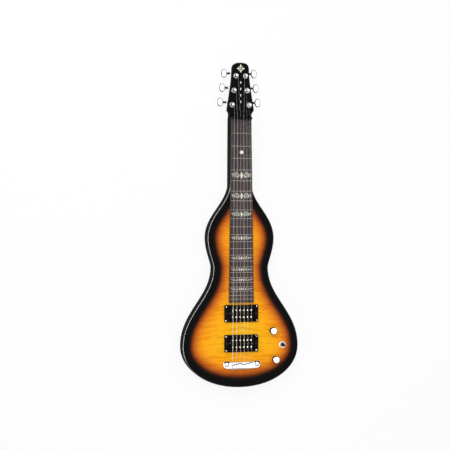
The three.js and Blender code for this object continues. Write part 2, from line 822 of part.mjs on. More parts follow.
// A knob, the shaft it is fixed to, and the potentiometer that holds the shaft
function rotaryControl(label, place) {
  const bottom = faceZ + knobLift;
  const top = bottom + knobHeight;
  const boreRadius = shaftRadius + fitGap;
  const recessTop = bottom + knobRecessDepth;
  const boreTop = top - knobRoof;
  const knob = turned(
    [
      [0, boreTop],
      [boreRadius, boreTop],
      [boreRadius, recessTop],
      [knobRecessRadius, recessTop],
      [knobRecessRadius, bottom],
      [knobRadius, bottom],
      [knobRadius, top - knobBevel],
      [knobTopRadius, top],
      [0, top],
    ],
    place,
  );
  const shaftBottom = controlCeilingZ - shaftDepth;
  const shaft = rod(shaftRadius, [...place, shaftBottom], [...place, boreTop - fitGap]);
  const caseTop = controlCeilingZ - fitGap;
  const caseBottom = caseTop - potHeight;
  const bushTop = faceZ + potBushProud;
  const nutTop = faceZ + fitGap + potNutHeight;
  const socket = turned(
    [
      [0, caseBottom],
      [potRadius, caseBottom],
      [potRadius, caseTop],
      [potBushRadius, caseTop],
      [potBushRadius, faceZ + fitGap],
      [potNutRadius, faceZ + fitGap],
      [potNutRadius, nutTop],
      [potBushRadius, nutTop],
      [potBushRadius, bushTop],
      [boreRadius, bushTop],
      [boreRadius, shaftBottom - fitGap],
      [0, shaftBottom - fitGap],
    ],
    place,
  );
  return [
    piece(`${label}_knob`, knob, "chrome"),
    piece(`${label}_shaft`, shaft, "brass"),
    piece(`${label}_potentiometer`, socket, "zinc"),
  ];
}

// A three-way switch: its lever rocks along the strings on a ball in the switch's neck
function toggleSwitch() {
  const [x, y] = switchPlace;
  const caseTop = controlCeilingZ - fitGap;
  const bushTop = faceZ + switchNutHeight + fitGap;
  const pivotZ = faceZ - leverPivotDepth;
  const box = block(
    [x - switchHalfWidth, y - switchHalfLength, caseTop - switchHeight],
    [x + switchHalfWidth, y + switchHalfLength, caseTop],
  );
  const bush = rod(switchBushRadius, [x, y, caseTop - switchBushRadius], [x, y, bushTop], roundSides);
  const ballSeat = pivotZ - leverBallRadius - fitGap;
  const bore = rod(switchBoreRadius, [x, y, ballSeat], [x, y, bushTop + overrun], roundSides);
  const nutBore = switchBushRadius + fitGap;
  const nutTop = faceZ + switchNutHeight;
  const nutBevel = switchNutHeight / 3;
  const ringNut = turned(
    [
      [nutBore, faceZ],
      [switchNutRadius, faceZ],
      [switchNutRadius, nutTop - nutBevel],
      [switchNutRadius - nutBevel, nutTop],
      [nutBore, nutTop],
      [nutBore, faceZ],
    ],
    [x, y],
  );
  const tipStart = faceZ + leverTipStart;
  const tipEnd = tipStart + leverTipLength;
  const tip = turned(
    [
      [0, tipStart],
      [leverTipRadius, tipStart],
      [leverTipTopRadius, tipEnd - leverTipRound],
      [leverTipTopRadius - leverTipRound, tipEnd],
      [0, tipEnd],
    ],
    [x, y],
    smallSides,
  );
  const stem = rod(leverRadius, [x, y, pivotZ], [x, y, tipEnd - leverTipRound]);
  const ball = new THREE.SphereGeometry(leverBallRadius, smallSides, tinySides).translate(x, y, pivotZ);
  return [
    piece("toggle_switch", box.add(bush).subtract(bore), "zinc"),
    piece("toggle_nut", ringNut, "chrome"),
    piece("toggle_lever", joined([tip, stem, solidOf(ball)]), "blackPlastic"),
  ];
}

// The jack looks out of the +X edge: a cup pressed into the wood, and the jack screwed in its floor
function outputJack() {
  const outer = lowerBoutHalfWidth - cupSink;
  const y = -lowerBoutAt;
  const at = (x) => [x, y, jackZ];
  const flangeBack = outer - cupFlangeThickness;
  const floorX = outer - cupDepth;
  const cupShell = rod(cupRadius, at(floorX), at(outer), roundSides);
  const flange = rod(cupFlangeRadius, at(flangeBack), at(outer), roundSides);
  const hollow = rod(cupRadius - cupWall, at(floorX + cupWall), at(outer + overrun), roundSides);
  const floorHole = rod(jackBushRadius + fitGap, at(floorX - overrun), at(outer + overrun), roundSides);
  const cup = cut(cupShell.add(flange), [hollow, floorHole]);
  const bodyFront = floorX - fitGap;
  const bodyBack = bodyFront - jackBodyLength;
  const bushFront = floorX + cupWall + jackBushProud;
  const nutBack = floorX + cupWall + fitGap;
  const jackNut = rod(jackNutRadius, at(nutBack), at(nutBack + jackNutThickness), hexSides);
  const jack = cut(
    joined([
      rod(jackBodyRadius, at(bodyBack), at(bodyFront), roundSides),
      rod(jackBushRadius, at(bodyBack + jackEndWall), at(bushFront), roundSides),
      jackNut,
    ]),
    [rod(jackBoreRadius, at(bodyBack + jackEndWall), at(bushFront + overrun), roundSides)],
  );
  return [piece("jack_cup", cup, "chrome"), piece("output_jack", jack, "nickelSteel")];
}

function cavityCover() {
  const plate = prism(cavityShape(coverLedge - fitGap), 0, coverThickness);
  return piece("control_cavity_cover", plate, "blackPlastic");
}

// Where the posts stand. Strings 6, 5 and 4 go to the -X side, and 1, 2 and 3 to the +X side
function tunerPlaces() {
  const places = [];
  for (const side of [-1, 1]) {
    for (let row = 0; row < tunersPerSide; row += 1) {
      const number = side < 0 ? tunersPerSide * 2 - row : row + 1;
      const x = side * (firstPostSpread - row * postSpreadStep);
      places.push({ number, side, x, y: firstPostAt + row * postPitch });
    }
  }
  return places;
}

const wormZ = headBackZ - wormDrop;
const stringHoleZ = headFaceZ + stringOnPost;

function tuner({ number, side, x, y }) {
  const wormY = y + wormOffset;
  const wheelTop = wormZ + wheelThickness / 2;
  const wheelBottom = wormZ - wheelThickness / 2;
  const postTop = headFaceZ + postHeight;

  const toothRing = [];
  for (let step = 0; step < wheelTeeth * 2; step += 1) {
    const angle = (step / wheelTeeth) * Math.PI;
    const radius = step % 2 === 0 ? wheelRadius : wheelRootRadius;
    toothRing.push([x + radius * Math.cos(angle), y + radius * Math.sin(angle)]);
  }
  const wheel = prism(polygon(toothRing), wheelBottom, wheelTop);
  const stem = turned(
    [
      [0, wheelBottom],
      [postRadius, wheelBottom],
      [postRadius, stringHoleZ - postRadius],
      [postWaistRadius, stringHoleZ],
      [postRadius, stringHoleZ + postRadius],
      [postRadius, postTop],
      [0, postTop],
    ],
    [x, y],
    smallSides,
  );
  const stringHole = rod(
    postHoleRadius,
    [x, y - postRadius - overrun, stringHoleZ],
    [x, y + postRadius + overrun, stringHoleZ],
    hexSides,
  );
  const post = stem.add(wheel).subtract(stringHole);

  const flangeTop = headFaceZ + bushFlangeThickness;
  const collarTop = flangeTop + bushCollarThickness;
  const bushBottom = headFaceZ - bushDepth;
  const boreRadius = postRadius + fitGap;
  const bushing = turned(
    [
      [boreRadius, bushBottom],
      [bushRadius, bushBottom],
      [bushRadius, headFaceZ],
      [bushFlangeRadius, headFaceZ],
      [bushFlangeRadius, flangeTop],
      [bushCollarRadius, flangeTop],
      [bushCollarRadius, collarTop],
      [boreRadius, collarTop],
      [boreRadius, bushBottom],
    ],
    [x, y],
    smallSides,
  );

  const outward = (distance) => x + side * distance;
  const wheelRoom = wheelRadius + fitGap * 2;
  const wormRoom = wormRadius + fitGap;
  const housingBack = y - wheelRoom - housingWall;
  const housingFront = wormY + wormRoom + housingWall;
  const housingTop = headBackZ - fitGap;
  const roomBottom = wheelBottom - fitGap;
  const housingBottom = Math.min(roomBottom, wormZ - wormRoom) - housingFloor;
  const shell = prism(
    roundedRectangle(x - housingHalfWidth, x + housingHalfWidth, housingBack, housingFront, housingCorner),
    housingBottom,
    housingTop,
  );
  const wheelPocket = rod(wheelRoom, [x, y, roomBottom], [x, y, housingTop + overrun]);
  const wormEnd = wormLength / 2 + fitGap;
  const wormPocket = rod(wormRoom, [outward(-wormEnd), wormY, wormZ], [outward(wormEnd), wormY, wormZ]);
  const shaftHole = rod(
    buttonShaftRadius + fitGap,
    [x, wormY, wormZ],
    [outward(housingHalfWidth + shaftCollarLength + overrun), wormY, wormZ],
  );
  const collar = rod(
    shaftCollarRadius,
    [outward(housingHalfWidth - housingWall), wormY, wormZ],
    [outward(housingHalfWidth + shaftCollarLength), wormY, wormZ],
  );
  const housing = cut(shell.add(collar), [wheelPocket, wormPocket, shaftHole]);

  const worm = rod(
    wormRadius,
    [outward(-wormLength / 2), wormY, wormZ],
    [outward(wormLength / 2), wormY, wormZ],
  );
  const shaft = rod(
    buttonShaftRadius,
    [x, wormY, wormZ],
    [outward(buttonReach), wormY, wormZ],
  );
  const button = joined([worm, shaft, buttonHead(outward(buttonReach), wormY, side)]);
  return [
    piece(`tuner_post_${number}`, post, "chrome"),
    piece(`tuner_bushing_${number}`, bushing, "chrome"),
    piece(`tuner_housing_${number}`, housing, "chrome"),
    piece(`tuner_button_${number}`, button, "chrome"),
  ];
}

// A long button with cut corners, drawn in to the shaft on its inner side
function buttonHead(x, y, side) {
  const wide = buttonHalfWidth - buttonBevel;
  const long = buttonHalfLength - buttonBevel;
  const neck = long * buttonNeckShare;
  const corner = long * buttonCornerShare;
  const outline = polygon(
    [
      [-wide, -neck],
      [-wide * buttonNeckShare, -long],
      [wide * buttonCornerShare, -long],
      [wide, -corner],
      [wide, corner],
      [wide * buttonCornerShare, long],
      [-wide * buttonNeckShare, long],
      [-wide, neck],
    ].map(([across, along]) => [side * across, along]),
  );
  const flat = buttonThickness - buttonBevel * 2;
  const geometry = new THREE.ExtrudeGeometry(outline, {
    depth: flat,
    bevelEnabled: true,
    bevelThickness: buttonBevel,
    bevelSize: buttonBevel,
    bevelSegments: 2,
    curveSegments: cornerSegments,
  });
  return solidOf(geometry.translate(x, y, wormZ - flat / 2));
}

// A route through points, with a ring at each point
class Route extends THREE.Curve {
  constructor(points) {
    super();
    this.points = points;
  }
  getPointAt(share) {
    const last = this.points.length - 1;
    const index = Math.min(Math.round(share * last), last);
    return this.points[index].clone();
  }
  getTangentAt(share) {
    const last = this.points.length - 1;
    const index = Math.min(Math.round(share * last), last);
    const here = this.points[index];
    const before = this.points[Math.max(index - 1, 0)];
    const after = this.points[Math.min(index + 1, last)];
    const arrive = here.clone().sub(before).normalize();
    const leave = after.clone().sub(here).normalize();
    return arrive.add(leave).normalize();
  }
}

// A string leaves the rear of the bridge, wraps over it, breaks over the ridge and the nut,
// and ends beside its post
function string(index) {
  const number = stringDiameters.length - index;
  const radius = stringDiameters[index] / 2;
  const place = tunerPlaces().find((tuner) => tuner.number === number);
  const bridgeX = stringX(index, bridgeSpread);
  const nutX = stringX(index, nutSpread);
  const centreZ = stringRestZ + radius;
  const wrapCentreZ = (barBottomZ + barTopZ) / 2;
  const wrapCentreY = bridgeRearY - fitGap - radius;
  const wrapHeight = centreZ - wrapCentreZ;
  const points = [];
  for (let step = 0; step <= wrapSteps; step += 1) {
    const angle = (step / wrapSteps) * (Math.PI / 2);
    const back = wrapCentreY - wrapBulge * Math.sin(angle) * Math.cos(angle);
    const forward = (ridgeY(index) - wrapCentreY) * (1 - Math.cos(angle)) ** 2;
    points.push(new THREE.Vector3(bridgeX, back + forward, wrapCentreZ + wrapHeight * Math.sin(angle)));
  }
  points.push(new THREE.Vector3(nutX, nutThickness, centreZ));
  const postX = place.x - place.side * (postRadius + fitGap + radius);
  points.push(new THREE.Vector3(postX, place.y, stringHoleZ));
  const section = new THREE.Shape();
  section.absarc(0, 0, radius, 0, Math.PI * 2);
  const geometry = new THREE.ExtrudeGeometry(section, {
    steps: points.length - 1,
    curveSegments: stringHalfSides,
    bevelEnabled: false,
    extrudePath: new Route(points),
  });
  return piece(`string_${number}`, solidOf(geometry), "stringSteel");
}

const woodwork = new THREE.Group();
woodwork.add(bodyCore(), mapleTop(), neck(), fretboard(), nut());

const hardware = new THREE.Group();
hardware.add(bridge(), bridgeStud(-1), bridgeStud(1), ...tunerPlaces().flatMap(tuner));
hardware.add(...stringDiameters.map((diameter, index) => string(index)));

const electrics = new THREE.Group();
electrics.add(...pickup("neck", pickupAt[0]), ...pickup("bridge", pickupAt[1]));
electrics.add(...rotaryControl("volume", volumePlace), ...rotaryControl("tone", tonePlace));
electrics.add(...toggleSwitch(), ...outputJack(), cavityCover());

const guitar = new THREE.Group();
guitar.add(woodwork, hardware, electrics);
guitar.position.y = (tailLength - headLength) / 2;

export default guitar;
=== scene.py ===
import math

import bmesh
import bpy
import numpy as np
from mathutils import Matrix, Vector
from mathutils.geometry import tessellate_polygon

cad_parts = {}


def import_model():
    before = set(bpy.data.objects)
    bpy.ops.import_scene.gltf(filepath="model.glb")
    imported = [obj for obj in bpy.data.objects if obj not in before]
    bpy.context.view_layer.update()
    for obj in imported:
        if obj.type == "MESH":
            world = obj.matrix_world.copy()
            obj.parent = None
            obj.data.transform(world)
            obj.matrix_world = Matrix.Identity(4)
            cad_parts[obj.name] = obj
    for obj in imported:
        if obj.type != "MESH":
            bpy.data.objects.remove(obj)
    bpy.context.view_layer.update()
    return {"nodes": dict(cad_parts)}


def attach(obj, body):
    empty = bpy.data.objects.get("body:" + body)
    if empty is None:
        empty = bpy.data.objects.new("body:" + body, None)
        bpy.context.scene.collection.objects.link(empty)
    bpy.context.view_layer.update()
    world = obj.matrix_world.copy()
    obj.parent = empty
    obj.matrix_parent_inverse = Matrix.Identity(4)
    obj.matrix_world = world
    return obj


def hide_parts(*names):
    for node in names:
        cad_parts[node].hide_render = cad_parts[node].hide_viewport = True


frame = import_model()

MM = 0.001
NUT_LINE = 279.9

# Smoothness of the forms
CURVE_STEPS = 22
CORNER_STEPS = 7
ROUND_STEPS = 4
ROUND_SIDES = 48
SMALL_SIDES = 24
KNOB_SIDES = 96
TUBE_SIDES = 10
CREASE_ANGLE = math.radians(38)

# Body, seen from above: half widths, and distances from the nut line
SCALE_LENGTH = 647.7
TAIL = 711.5
STATIONS = [(30, -171), (90.5, -314.2), (74.4, -393), (157.5, -602)]
STATION_SHARES = [(0.357, 0.425), (0.425, 0.18), (0.378, 0.431)]
TAIL_SHARE = 0.572
CORE_TOP = 38.3
FACE = 44.5
BODY_START = -171
RAMP_LENGTH = 46
RAMP_ROWS = 14
NECK_BACK = 7.5
CORE_ROUND = 3.2
TOP_ROUND = 3.2
RIM_PROUD = 0.03
RIM_SUNK = 0.3
RIM_TURNS = (18, 30, 42, 54, 66)
STUD_HOLE = 4.3
CONTROL_HOLE = 5
SWITCH_HOLE = 6.2
HOLE_ROUND = 0.3

# The burst: how far its colours reach in from the rim, and where it widens ahead of the tail
BURST_GRID = 6
BURST_UNIT = 100
BURST_REACH = 1.4
BURST_TAIL = (600, 690)
TAIL_WIDENING = 0.24

# Neck and head
NUT_HALF = 29
HEEL_HALF = 30
EAR_HALF = 36.4
EAR_AT = 25
SHOULDER_HALF = 22.8
SHOULDER_AT = 133
CROWN = 151.7
HEAD_FACE = 42
HEAD_BACK = 27
HEAD_FACE_AT = 13
HEAD_BACK_AT = 28
NECK_ROUND = 1.8
HEAD_ROUND = 1.6
FACE_ROUND = 0.8
NECK_ROWS = 12
NECK_STEP = 1.2
HEAD_START = 30
HEAD_STEP = 4
CROWN_ROWS = (3.4, 2.8, 2.2, 1.6, 1.1, 0.7, 0.4, 0.15)
FLOWER_AT = 136
LOZENGES_AT = (99, 82, 65, 48)

# Board, nut and strings
BOARD_TOP = 51
BOARD_NUT_HALF = 27.2
BOARD_END_HALF = 33.4
BOARD_END = -485.8
BOARD_CORNER = 3
BOARD_ROUND = 0.6
LINES = 23
LINE_MARGIN = 0.7
LINE_HALF = 0.45
SPRAY_SPACES = (5, 7, 9, 12, 15, 17, 19, 21)
SPRAY_MARGIN = 3
SPRAY_ROWS = 4
SPRAY_ANGLE = 48
TWIG_HALF = 0.45
TWIG_STEPS = 12
INLAY_SHARE = 0.8
INLAY_SUNK = 0.4
FLAT_PROUD = 0.05
SHELL_PROUD = 0.06
PEARL_PROUD = 0.08
PROUD_STEP = 0.01
DOT_SPACE = 3
DOT_RADIUS = 4.8
NUT_THICKNESS = 5.6
NUT_TOP = 60.2
NUT_EDGE = 0.1
SLOT_ROOM = 0.12
STRING_REST = 59
DIAMETERS = [1.42, 1.17, 0.86, 0.66, 0.43, 0.33]
WOUND_STRINGS = 3
NUT_SPREAD = 42
BRIDGE_SPREAD = 52
# Where the strings' painted reflection goes from its light end to its dark end, along Y in metres
STRING_SHEEN_SPAN = (-0.24, 0.3)
FIT = 0.3

# Bridge and studs
BRIDGE_HALF = 50.2
BRIDGE_FRONT = -639.5
BRIDGE_STEP = -642.2
BRIDGE_END_REAR = -659.5
BRIDGE_REAR = -661.5
BRIDGE_BOTTOM = 47.5
BRIDGE_TOP = 56.1
BRIDGE_FRONT_ROUND = 7
BRIDGE_REAR_ROUND = 10
BRIDGE_BOTTOM_ROUND = 0.8
BRIDGE_TOP_ROUND = 1.6
BRIDGE_FRONT_DROP = 1.8
BRIDGE_REAR_DROP = 1.6
BRIDGE_ROWS = 18
RIDGE_TOP = 58.7
RIDGE_SUNK = 2.4
RIDGE_STEP_LOW = 0.04
RIDGE_ROUND = 0.7
RIDGE_WIDTH = 2.6
RIDGE_TRAVEL = 6
RIDGE_MARGIN = 3.4
RIDGE_SHARES = [1, 0.62, 0.25, 0.72, 0.4, 0.05]
STUD_AT = 41.2
STUD_EAR = 53.5
STUD_SLOT_HALF = 3.9
WELL_HALF = 6.8
# How far the painted-shade plates in the stud slots keep from the slot walls
SHADE_PLATE_GAP = 0.05

# Pickups. Each one's opening in the face is given by its half length, half width, corner and floor
PICKUPS = {"neck": -514.2, "bridge": -593.8}
RING_HALF_LENGTH = 45.7
RING_HALF_WIDTH = 22.8
RING_TOP = 51.5
RING_CORNER = 3.2
RING_ROUND = 1.3
WINDOW_HALF_LENGTH = 35.2
WINDOW_HALF_WIDTH = 19.3
WINDOW_CORNER = 2
WINDOW_ROUND = 0.7
COIL_HALF_LENGTH = 33.4
COIL_HALF_WIDTH = 8.8
COIL_ROW = 9.1
COIL_BOTTOM = 44.6
COIL_TOP = 55
COIL_FLANGE = 1.6
COIL_WAIST = 1.3
POLE_TOP = 55.6
POLE_RADIUS = 2.15
POLE_SPREAD = 50
POLE_BOTTOM = 33.6
POLE_SLOT = 0.8
SLUG_BOTTOM = 41
MAGNET_HALF = 30
MAGNET_BOTTOM = 41.1
MAGNET_TOP = 44.3
HEIGHT_SCREW_AT = 39.6
HEIGHT_SCREW_RADIUS = 1.5
HEIGHT_SCREW_BOTTOM = 26
CORNER_SCREW_IN = 4.3
ROUTE = (43.2, 20.4, 4, 21.5)

# Controls, each as its place on the face, and the cavity by its left, right, back, front and corner
VOLUME = (87.6, -562.5)
TONE = (94.7, -639.5)
SWITCH = (113.8, -600.3)
CAVITY = (72.1, 129.3, -655, -547, 13)
CAVITY_TOP = 36
COVER_LEDGE = 5
COVER_TOP = 2.4
JACK_HEIGHT = 19.15
JACK_AT = -602
JACK_BORES = [(10.8, 120), (12.8, 155.5)]
JACK_OUTSIDE = 165

# Tuning machines
POST_PLACES = [(23.1, 39.2), (17.95, 77.8), (12.8, 116.4)]
POSTS = {len(DIAMETERS) - row: (-x, y) for row, (x, y) in enumerate(POST_PLACES)}
POSTS |= {1 + row: (x, y) for row, (x, y) in enumerate(POST_PLACES)}
POST_RADIUS = 3
TURN_STEPS = 24
MOST_TURNS = 4
TURNS_HEIGHT = 2.4
STRING_HOLE = 49
WORM_HEIGHT = 20.4
WORM_AHEAD = 8.8
BUTTON_OUT = 27.8
HOUSING_HALF = 9.4
HOUSING_BOTTOM = 15.6

# Surfaces
LACQUER_SPECULAR = 0.03
PLASTIC_SPECULAR = 0.04
BUMP_DEPTH = 0.0002

# Studio, in metres and degrees. The ceiling goes from one level to another between two heights
FLOOR_HALF = 4.0
FLOOR_GAP = 0.0004
FLOOR_GLOW = 0.88
LIGHT_LEVEL = 0.56
CEILING = (1.0, 0.25, 0.4, 0.8)
CAMERA_TURN = 12.496
CAMERA_TILT = 0.395
CAMERA_ROLL = -0.029
CAMERA_TARGET = (-0.044967, 0.000434, 0.051)
CAMERA_DISTANCE = 2.6405
CAMERA_LENS = 80
CAMERA_FILM = 36


def metres(point):
    return (point[0] * MM, (point[1] + NUT_LINE) * MM, point[2] * MM)


def clamped(share):
    return min(max(share, 0), 1)


def eased(share):
    """A share between 0 and 1 that starts and ends level"""
    share = clamped(share)
    return share * share * (3 - 2 * share)


def side_of(x):
    return 1 if x > 0 else -1


# Forms: a form is a list of points and a list of faces, in millimetres


def joined(forms):
    points, faces = [], []
    for more_points, more_faces in forms:
        start = len(points)
        points += more_points
        faces += [tuple(start + corner for corner in face) for face in more_faces]
    return points, faces


def moved(form, matrix):
    points, faces = form
    return [tuple(matrix @ Vector(point)) for point in points], faces


def shifted(form, x=0, y=0, z=0):
    return moved(form, Matrix.Translation((x, y, z)))


def along_x(form, side=1):
    """The form's own Z axis laid along X"""
    return moved(form, Matrix.Rotation(side * math.pi / 2, 4, "Y"))


def underside(form):
    """The form turned over about X"""
    return moved(form, Matrix.Rotation(math.pi, 4, "X"))


def curve(handles, steps=CURVE_STEPS):
    """Points along a curve with these handles, without its last point"""
    points = []
    for step in range(steps):
        share = step / steps
        level = [np.array(handle, float) for handle in handles]
        while len(level) > 1:
            level = [a + (b - a) * share for a, b in zip(level, level[1:])]
        points.append(tuple(level[0]))
    return points


def arc(x, y, radius, start, end, steps=CORNER_STEPS):
    """Points of an arc, both ends included; the angles are shares of a whole turn"""
    angles = [(start + (end - start) * step / steps) * math.tau for step in range(steps + 1)]
    return [(x + radius * math.cos(angle), y + radius * math.sin(angle)) for angle in angles]


def circle(x, y, radius, sides=SMALL_SIDES):
    return arc(x, y, radius, 0, 1, sides)[:-1]


def rectangle(left, right, back, front, corner, back_corner=None, steps=CORNER_STEPS):
    """A rectangle with round corners; the two at the back may have a radius of their own"""
    rear = back_corner or corner
    points = arc(right - corner, front - corner, corner, 0, 0.25, steps)
    points += arc(left + corner, front - corner, corner, 0.25, 0.5, steps)
    points += arc(left + rear, back + rear, rear, 0.5, 0.75, steps)
    return points + arc(right - rear, back + rear, rear, 0.75, 1, steps)


def box(half_length, half_width, y=0):
    low, high = y - half_width, y + half_width
    return [(-half_length, low), (half_length, low), (half_length, high), (-half_length, high)]


def lozenge(half_width, half_length, y):
    return [(0, y - half_length), (half_width, y), (0, y + half_length), (-half_width, y)]


def centred(half_length, y, half_width, corner):
    return rectangle(-half_length, half_length, y - half_width, y + half_width, corner)


def mirrored(half):
    """Half an outline, from its start to the middle line, and back through its mirror image"""
    return half + [(-x, y) for x, y in reversed(half[:-1])]


def counter_clockwise(outline):
    points = np.array(outline, float)
    after = np.roll(points, -1, axis=0)
    area = (points[:, 0] * after[:, 1] - after[:, 0] * points[:, 1]).sum()
    return points if area > 0 else points[::-1]


def inset(outline, distance):
    """An outline that runs counter-clockwise, moved inwards"""
    ahead = np.roll(outline, -1, axis=0) - outline
    ahead /= np.linalg.norm(ahead, axis=1)[:, None]
    left = np.column_stack((-ahead[:, 1], ahead[:, 0]))
    bend = left + np.roll(left, 1, axis=0)
    return outline + bend * (2 * distance / (bend**2).sum(axis=1))[:, None]


def rim_levels(bottom, top, round_bottom, round_top):
    """How far in and how high each ring of a rounded rim lies"""
    quarter = [step / ROUND_STEPS * math.pi / 2 for step in range(ROUND_STEPS + 1)]
    bends = [(1 - math.sin(angle), 1 - math.cos(angle)) for angle in quarter]
    low = [(round_bottom * a, bottom + round_bottom * b) for a, b in bends]
    high = [(round_top * b, top - round_top * a) for a, b in bends]
    return (low if round_bottom else [(0, bottom)]) + (high if round_top else [(0, top)])


def between_rings(start, rings, count):
    """The faces between rings of points that follow each other"""
    faces = []
    for low in range(start, start + (rings - 1) * count, count):
        for index in range(count):
            after = (index + 1) % count
            faces.append((low + index, low + after, low + count + after, low + count + index))
    return faces


def lofted(points, count):
    """A form through rings of points, count in each, closed at both ends"""
    ends = [tuple(range(count)), tuple(range(len(points) - count, len(points)))]
    return points, between_rings(0, len(points) // count, count) + ends


def slab(outer, bottom, top, round_bottom=0.0, round_top=0.0, holes=(), round_hole=0.0):
    """A plate with rounded edges; its holes go right through"""
    points, faces, bottom_loops, top_loops = [], [], [], []
    outlines = [(outer, 1, rim_levels(bottom, top, round_bottom, round_top))]
    outlines += [(hole, -1, rim_levels(bottom, top, 0, round_hole)) for hole in holes]
    for outline, side, levels in outlines:
        outline = counter_clockwise(outline)
        count = len(outline)
        first = len(points)
        for distance, height in levels:
            ring = inset(outline, side * distance)
            points += [(x, y, height) for x, y in ring]
        faces += between_rings(first, len(levels), count)
        bottom_loops.append(range(first, first + count))
        top_loops.append(range(len(points) - count, len(points)))
    for loops in (bottom_loops, top_loops):
        order = [index for loop in loops for index in loop]
        flat = [[Vector((*points[index][:2], 0)) for index in loop] for loop in loops]
        faces += [tuple(order[corner] for corner in face) for face in tessellate_polygon(flat)]
    return points, faces


def lathe(profile, sides=ROUND_SIDES, knurl=(0, 0, 0)):
    """A form turned about Z. The profile lists radius and height; a ring's ends where it starts.
    Between the knurl's lowest and highest height every other side is cut in by its depth"""
    lowest, highest, depth = knurl
    loop = profile[0] == profile[-1]
    points, faces, rings = [], [], []
    for radius, height in profile[:-1] if loop else profile:
        if radius == 0:
            rings.append([len(points)] * sides)
            points.append((0, 0, height))
            continue
        rings.append(list(range(len(points), len(points) + sides)))
        for side in range(sides):
            angle = side / sides * math.tau
            reach = radius - depth if side % 2 and lowest <= height <= highest else radius
            points.append((reach * math.cos(angle), reach * math.sin(angle), height))
    for low, high in zip(rings, rings[1:] + (rings[:1] if loop else [])):
        for side in range(sides):
            after = (side + 1) % sides
            face = tuple(dict.fromkeys([low[side], low[after], high[after], high[side]]))
            if len(face) > 2:
                faces.append(face)
    return points, faces


def softened(profile, radius, steps=3):
    """A profile with its corners rounded; its two ends stay"""
    points = [profile[0]]
    for before, here, after in zip(profile, profile[1:], profile[2:]):
        a, b, c = (np.array(point, float) for point in (before, here, after))
        back, ahead = a - b, c - b
        reach = min(radius, np.linalg.norm(back) * 0.45, np.linalg.norm(ahead) * 0.45)
        start = b + back / np.linalg.norm(back) * reach
        end = b + ahead / np.linalg.norm(ahead) * reach
        points += curve([start, b, end], steps) + [tuple(end)]
    return points + [profile[-1]]


def tube(path, radius, sides=TUBE_SIDES):
    """A round rod along a path, closed at both ends"""
    path = [Vector(point) for point in path]
    points = []
    side = None
    for index, here in enumerate(path):
        ahead = (path[min(index + 1, len(path) - 1)] - path[max(index - 1, 0)]).normalized()
        side = ahead.orthogonal() if side is None else side - ahead * side.dot(ahead)
        side.normalize()
        up = ahead.cross(side)
        for step in range(sides):
            angle = step / sides * math.tau
            points.append(tuple(here + (side * math.cos(angle) + up * math.sin(angle)) * radius))
    return lofted(points, sides)


def placed(name, data):
    made = bpy.data.objects.new(name, data)
    bpy.context.scene.collection.objects.link(made)
    return made


def bare_object(name, form, scale=False):
    points, faces = form
    mesh = bpy.data.meshes.new(name)
    mesh.from_pydata([metres(point) for point in points] if scale else points, [], faces)
    clean = bmesh.new()
    clean.from_mesh(mesh)
    bmesh.ops.recalc_face_normals(clean, faces=clean.faces)
    clean.to_mesh(mesh)
    clean.free()
    return placed(name, mesh)


def carved(form, tools):
    """The form with the tools' room cut out of it"""
    target = bare_object("target", form)
    cutters = [bare_object("tool", tool) for tool in tools]
    for cutter in cutters:
        cut = target.modifiers.new("cut", "BOOLEAN")
        cut.operation = "DIFFERENCE"
        cut.solver = "EXACT"
        cut.object = cutter
    result = target.evaluated_get(bpy.context.evaluated_depsgraph_get()).to_mesh()
    points = [tuple(vertex.co) for vertex in result.vertices]
    faces = [tuple(face.vertices) for face in result.polygons]
    for spare in [target, *cutters]:
        bpy.data.objects.remove(spare)
    return points, faces


def sliced(form, axis, places):
    """The form with a line of points added wherever a plane across the axis meets it"""
    spare = bare_object("sliced", form)
    clean = bmesh.new()
    clean.from_mesh(spare.data)
    normal = Vector(np.eye(3)[axis])
    for place in places:
        everything = [*clean.verts, *clean.edges, *clean.faces]
        bmesh.ops.bisect_plane(clean, geom=everything, plane_co=normal * place, plane_no=normal)
    clean.verts.index_update()
    points = [tuple(vertex.co) for vertex in clean.verts]
    faces = [tuple(vertex.index for vertex in face.verts) for face in clean.faces]
    clean.free()
    bpy.data.objects.remove(spare)
    return points, faces


def piece(name, form, finish, body="frame", stands_for=()):
    """A finished piece of the guitar, riding on its body"""
    made = bare_object(name, form, scale=True)
    mesh = made.data
    mesh.polygons.foreach_set("use_smooth", [True] * len(mesh.polygons))
    mesh.set_sharp_from_angle(angle=CREASE_ANGLE)
    mesh.materials.append(finish.material)
    even = made.modifiers.new("even", "WEIGHTED_NORMAL")
    even.keep_sharp = True
    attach(made, body)
    if stands_for:
        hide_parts(*stands_for)
    return made


# Materials


def colour(code):
    """A colour written as six hex digits, as Blender's linear numbers"""
    shares = [int(code[start : start + 2], 16) / 255 for start in (0, 2, 4)]
    linear = [c / 12.92 if c <= 0.04045 else ((c + 0.055) / 1.055) ** 2.4 for c in shares]
    return (*linear, 1)


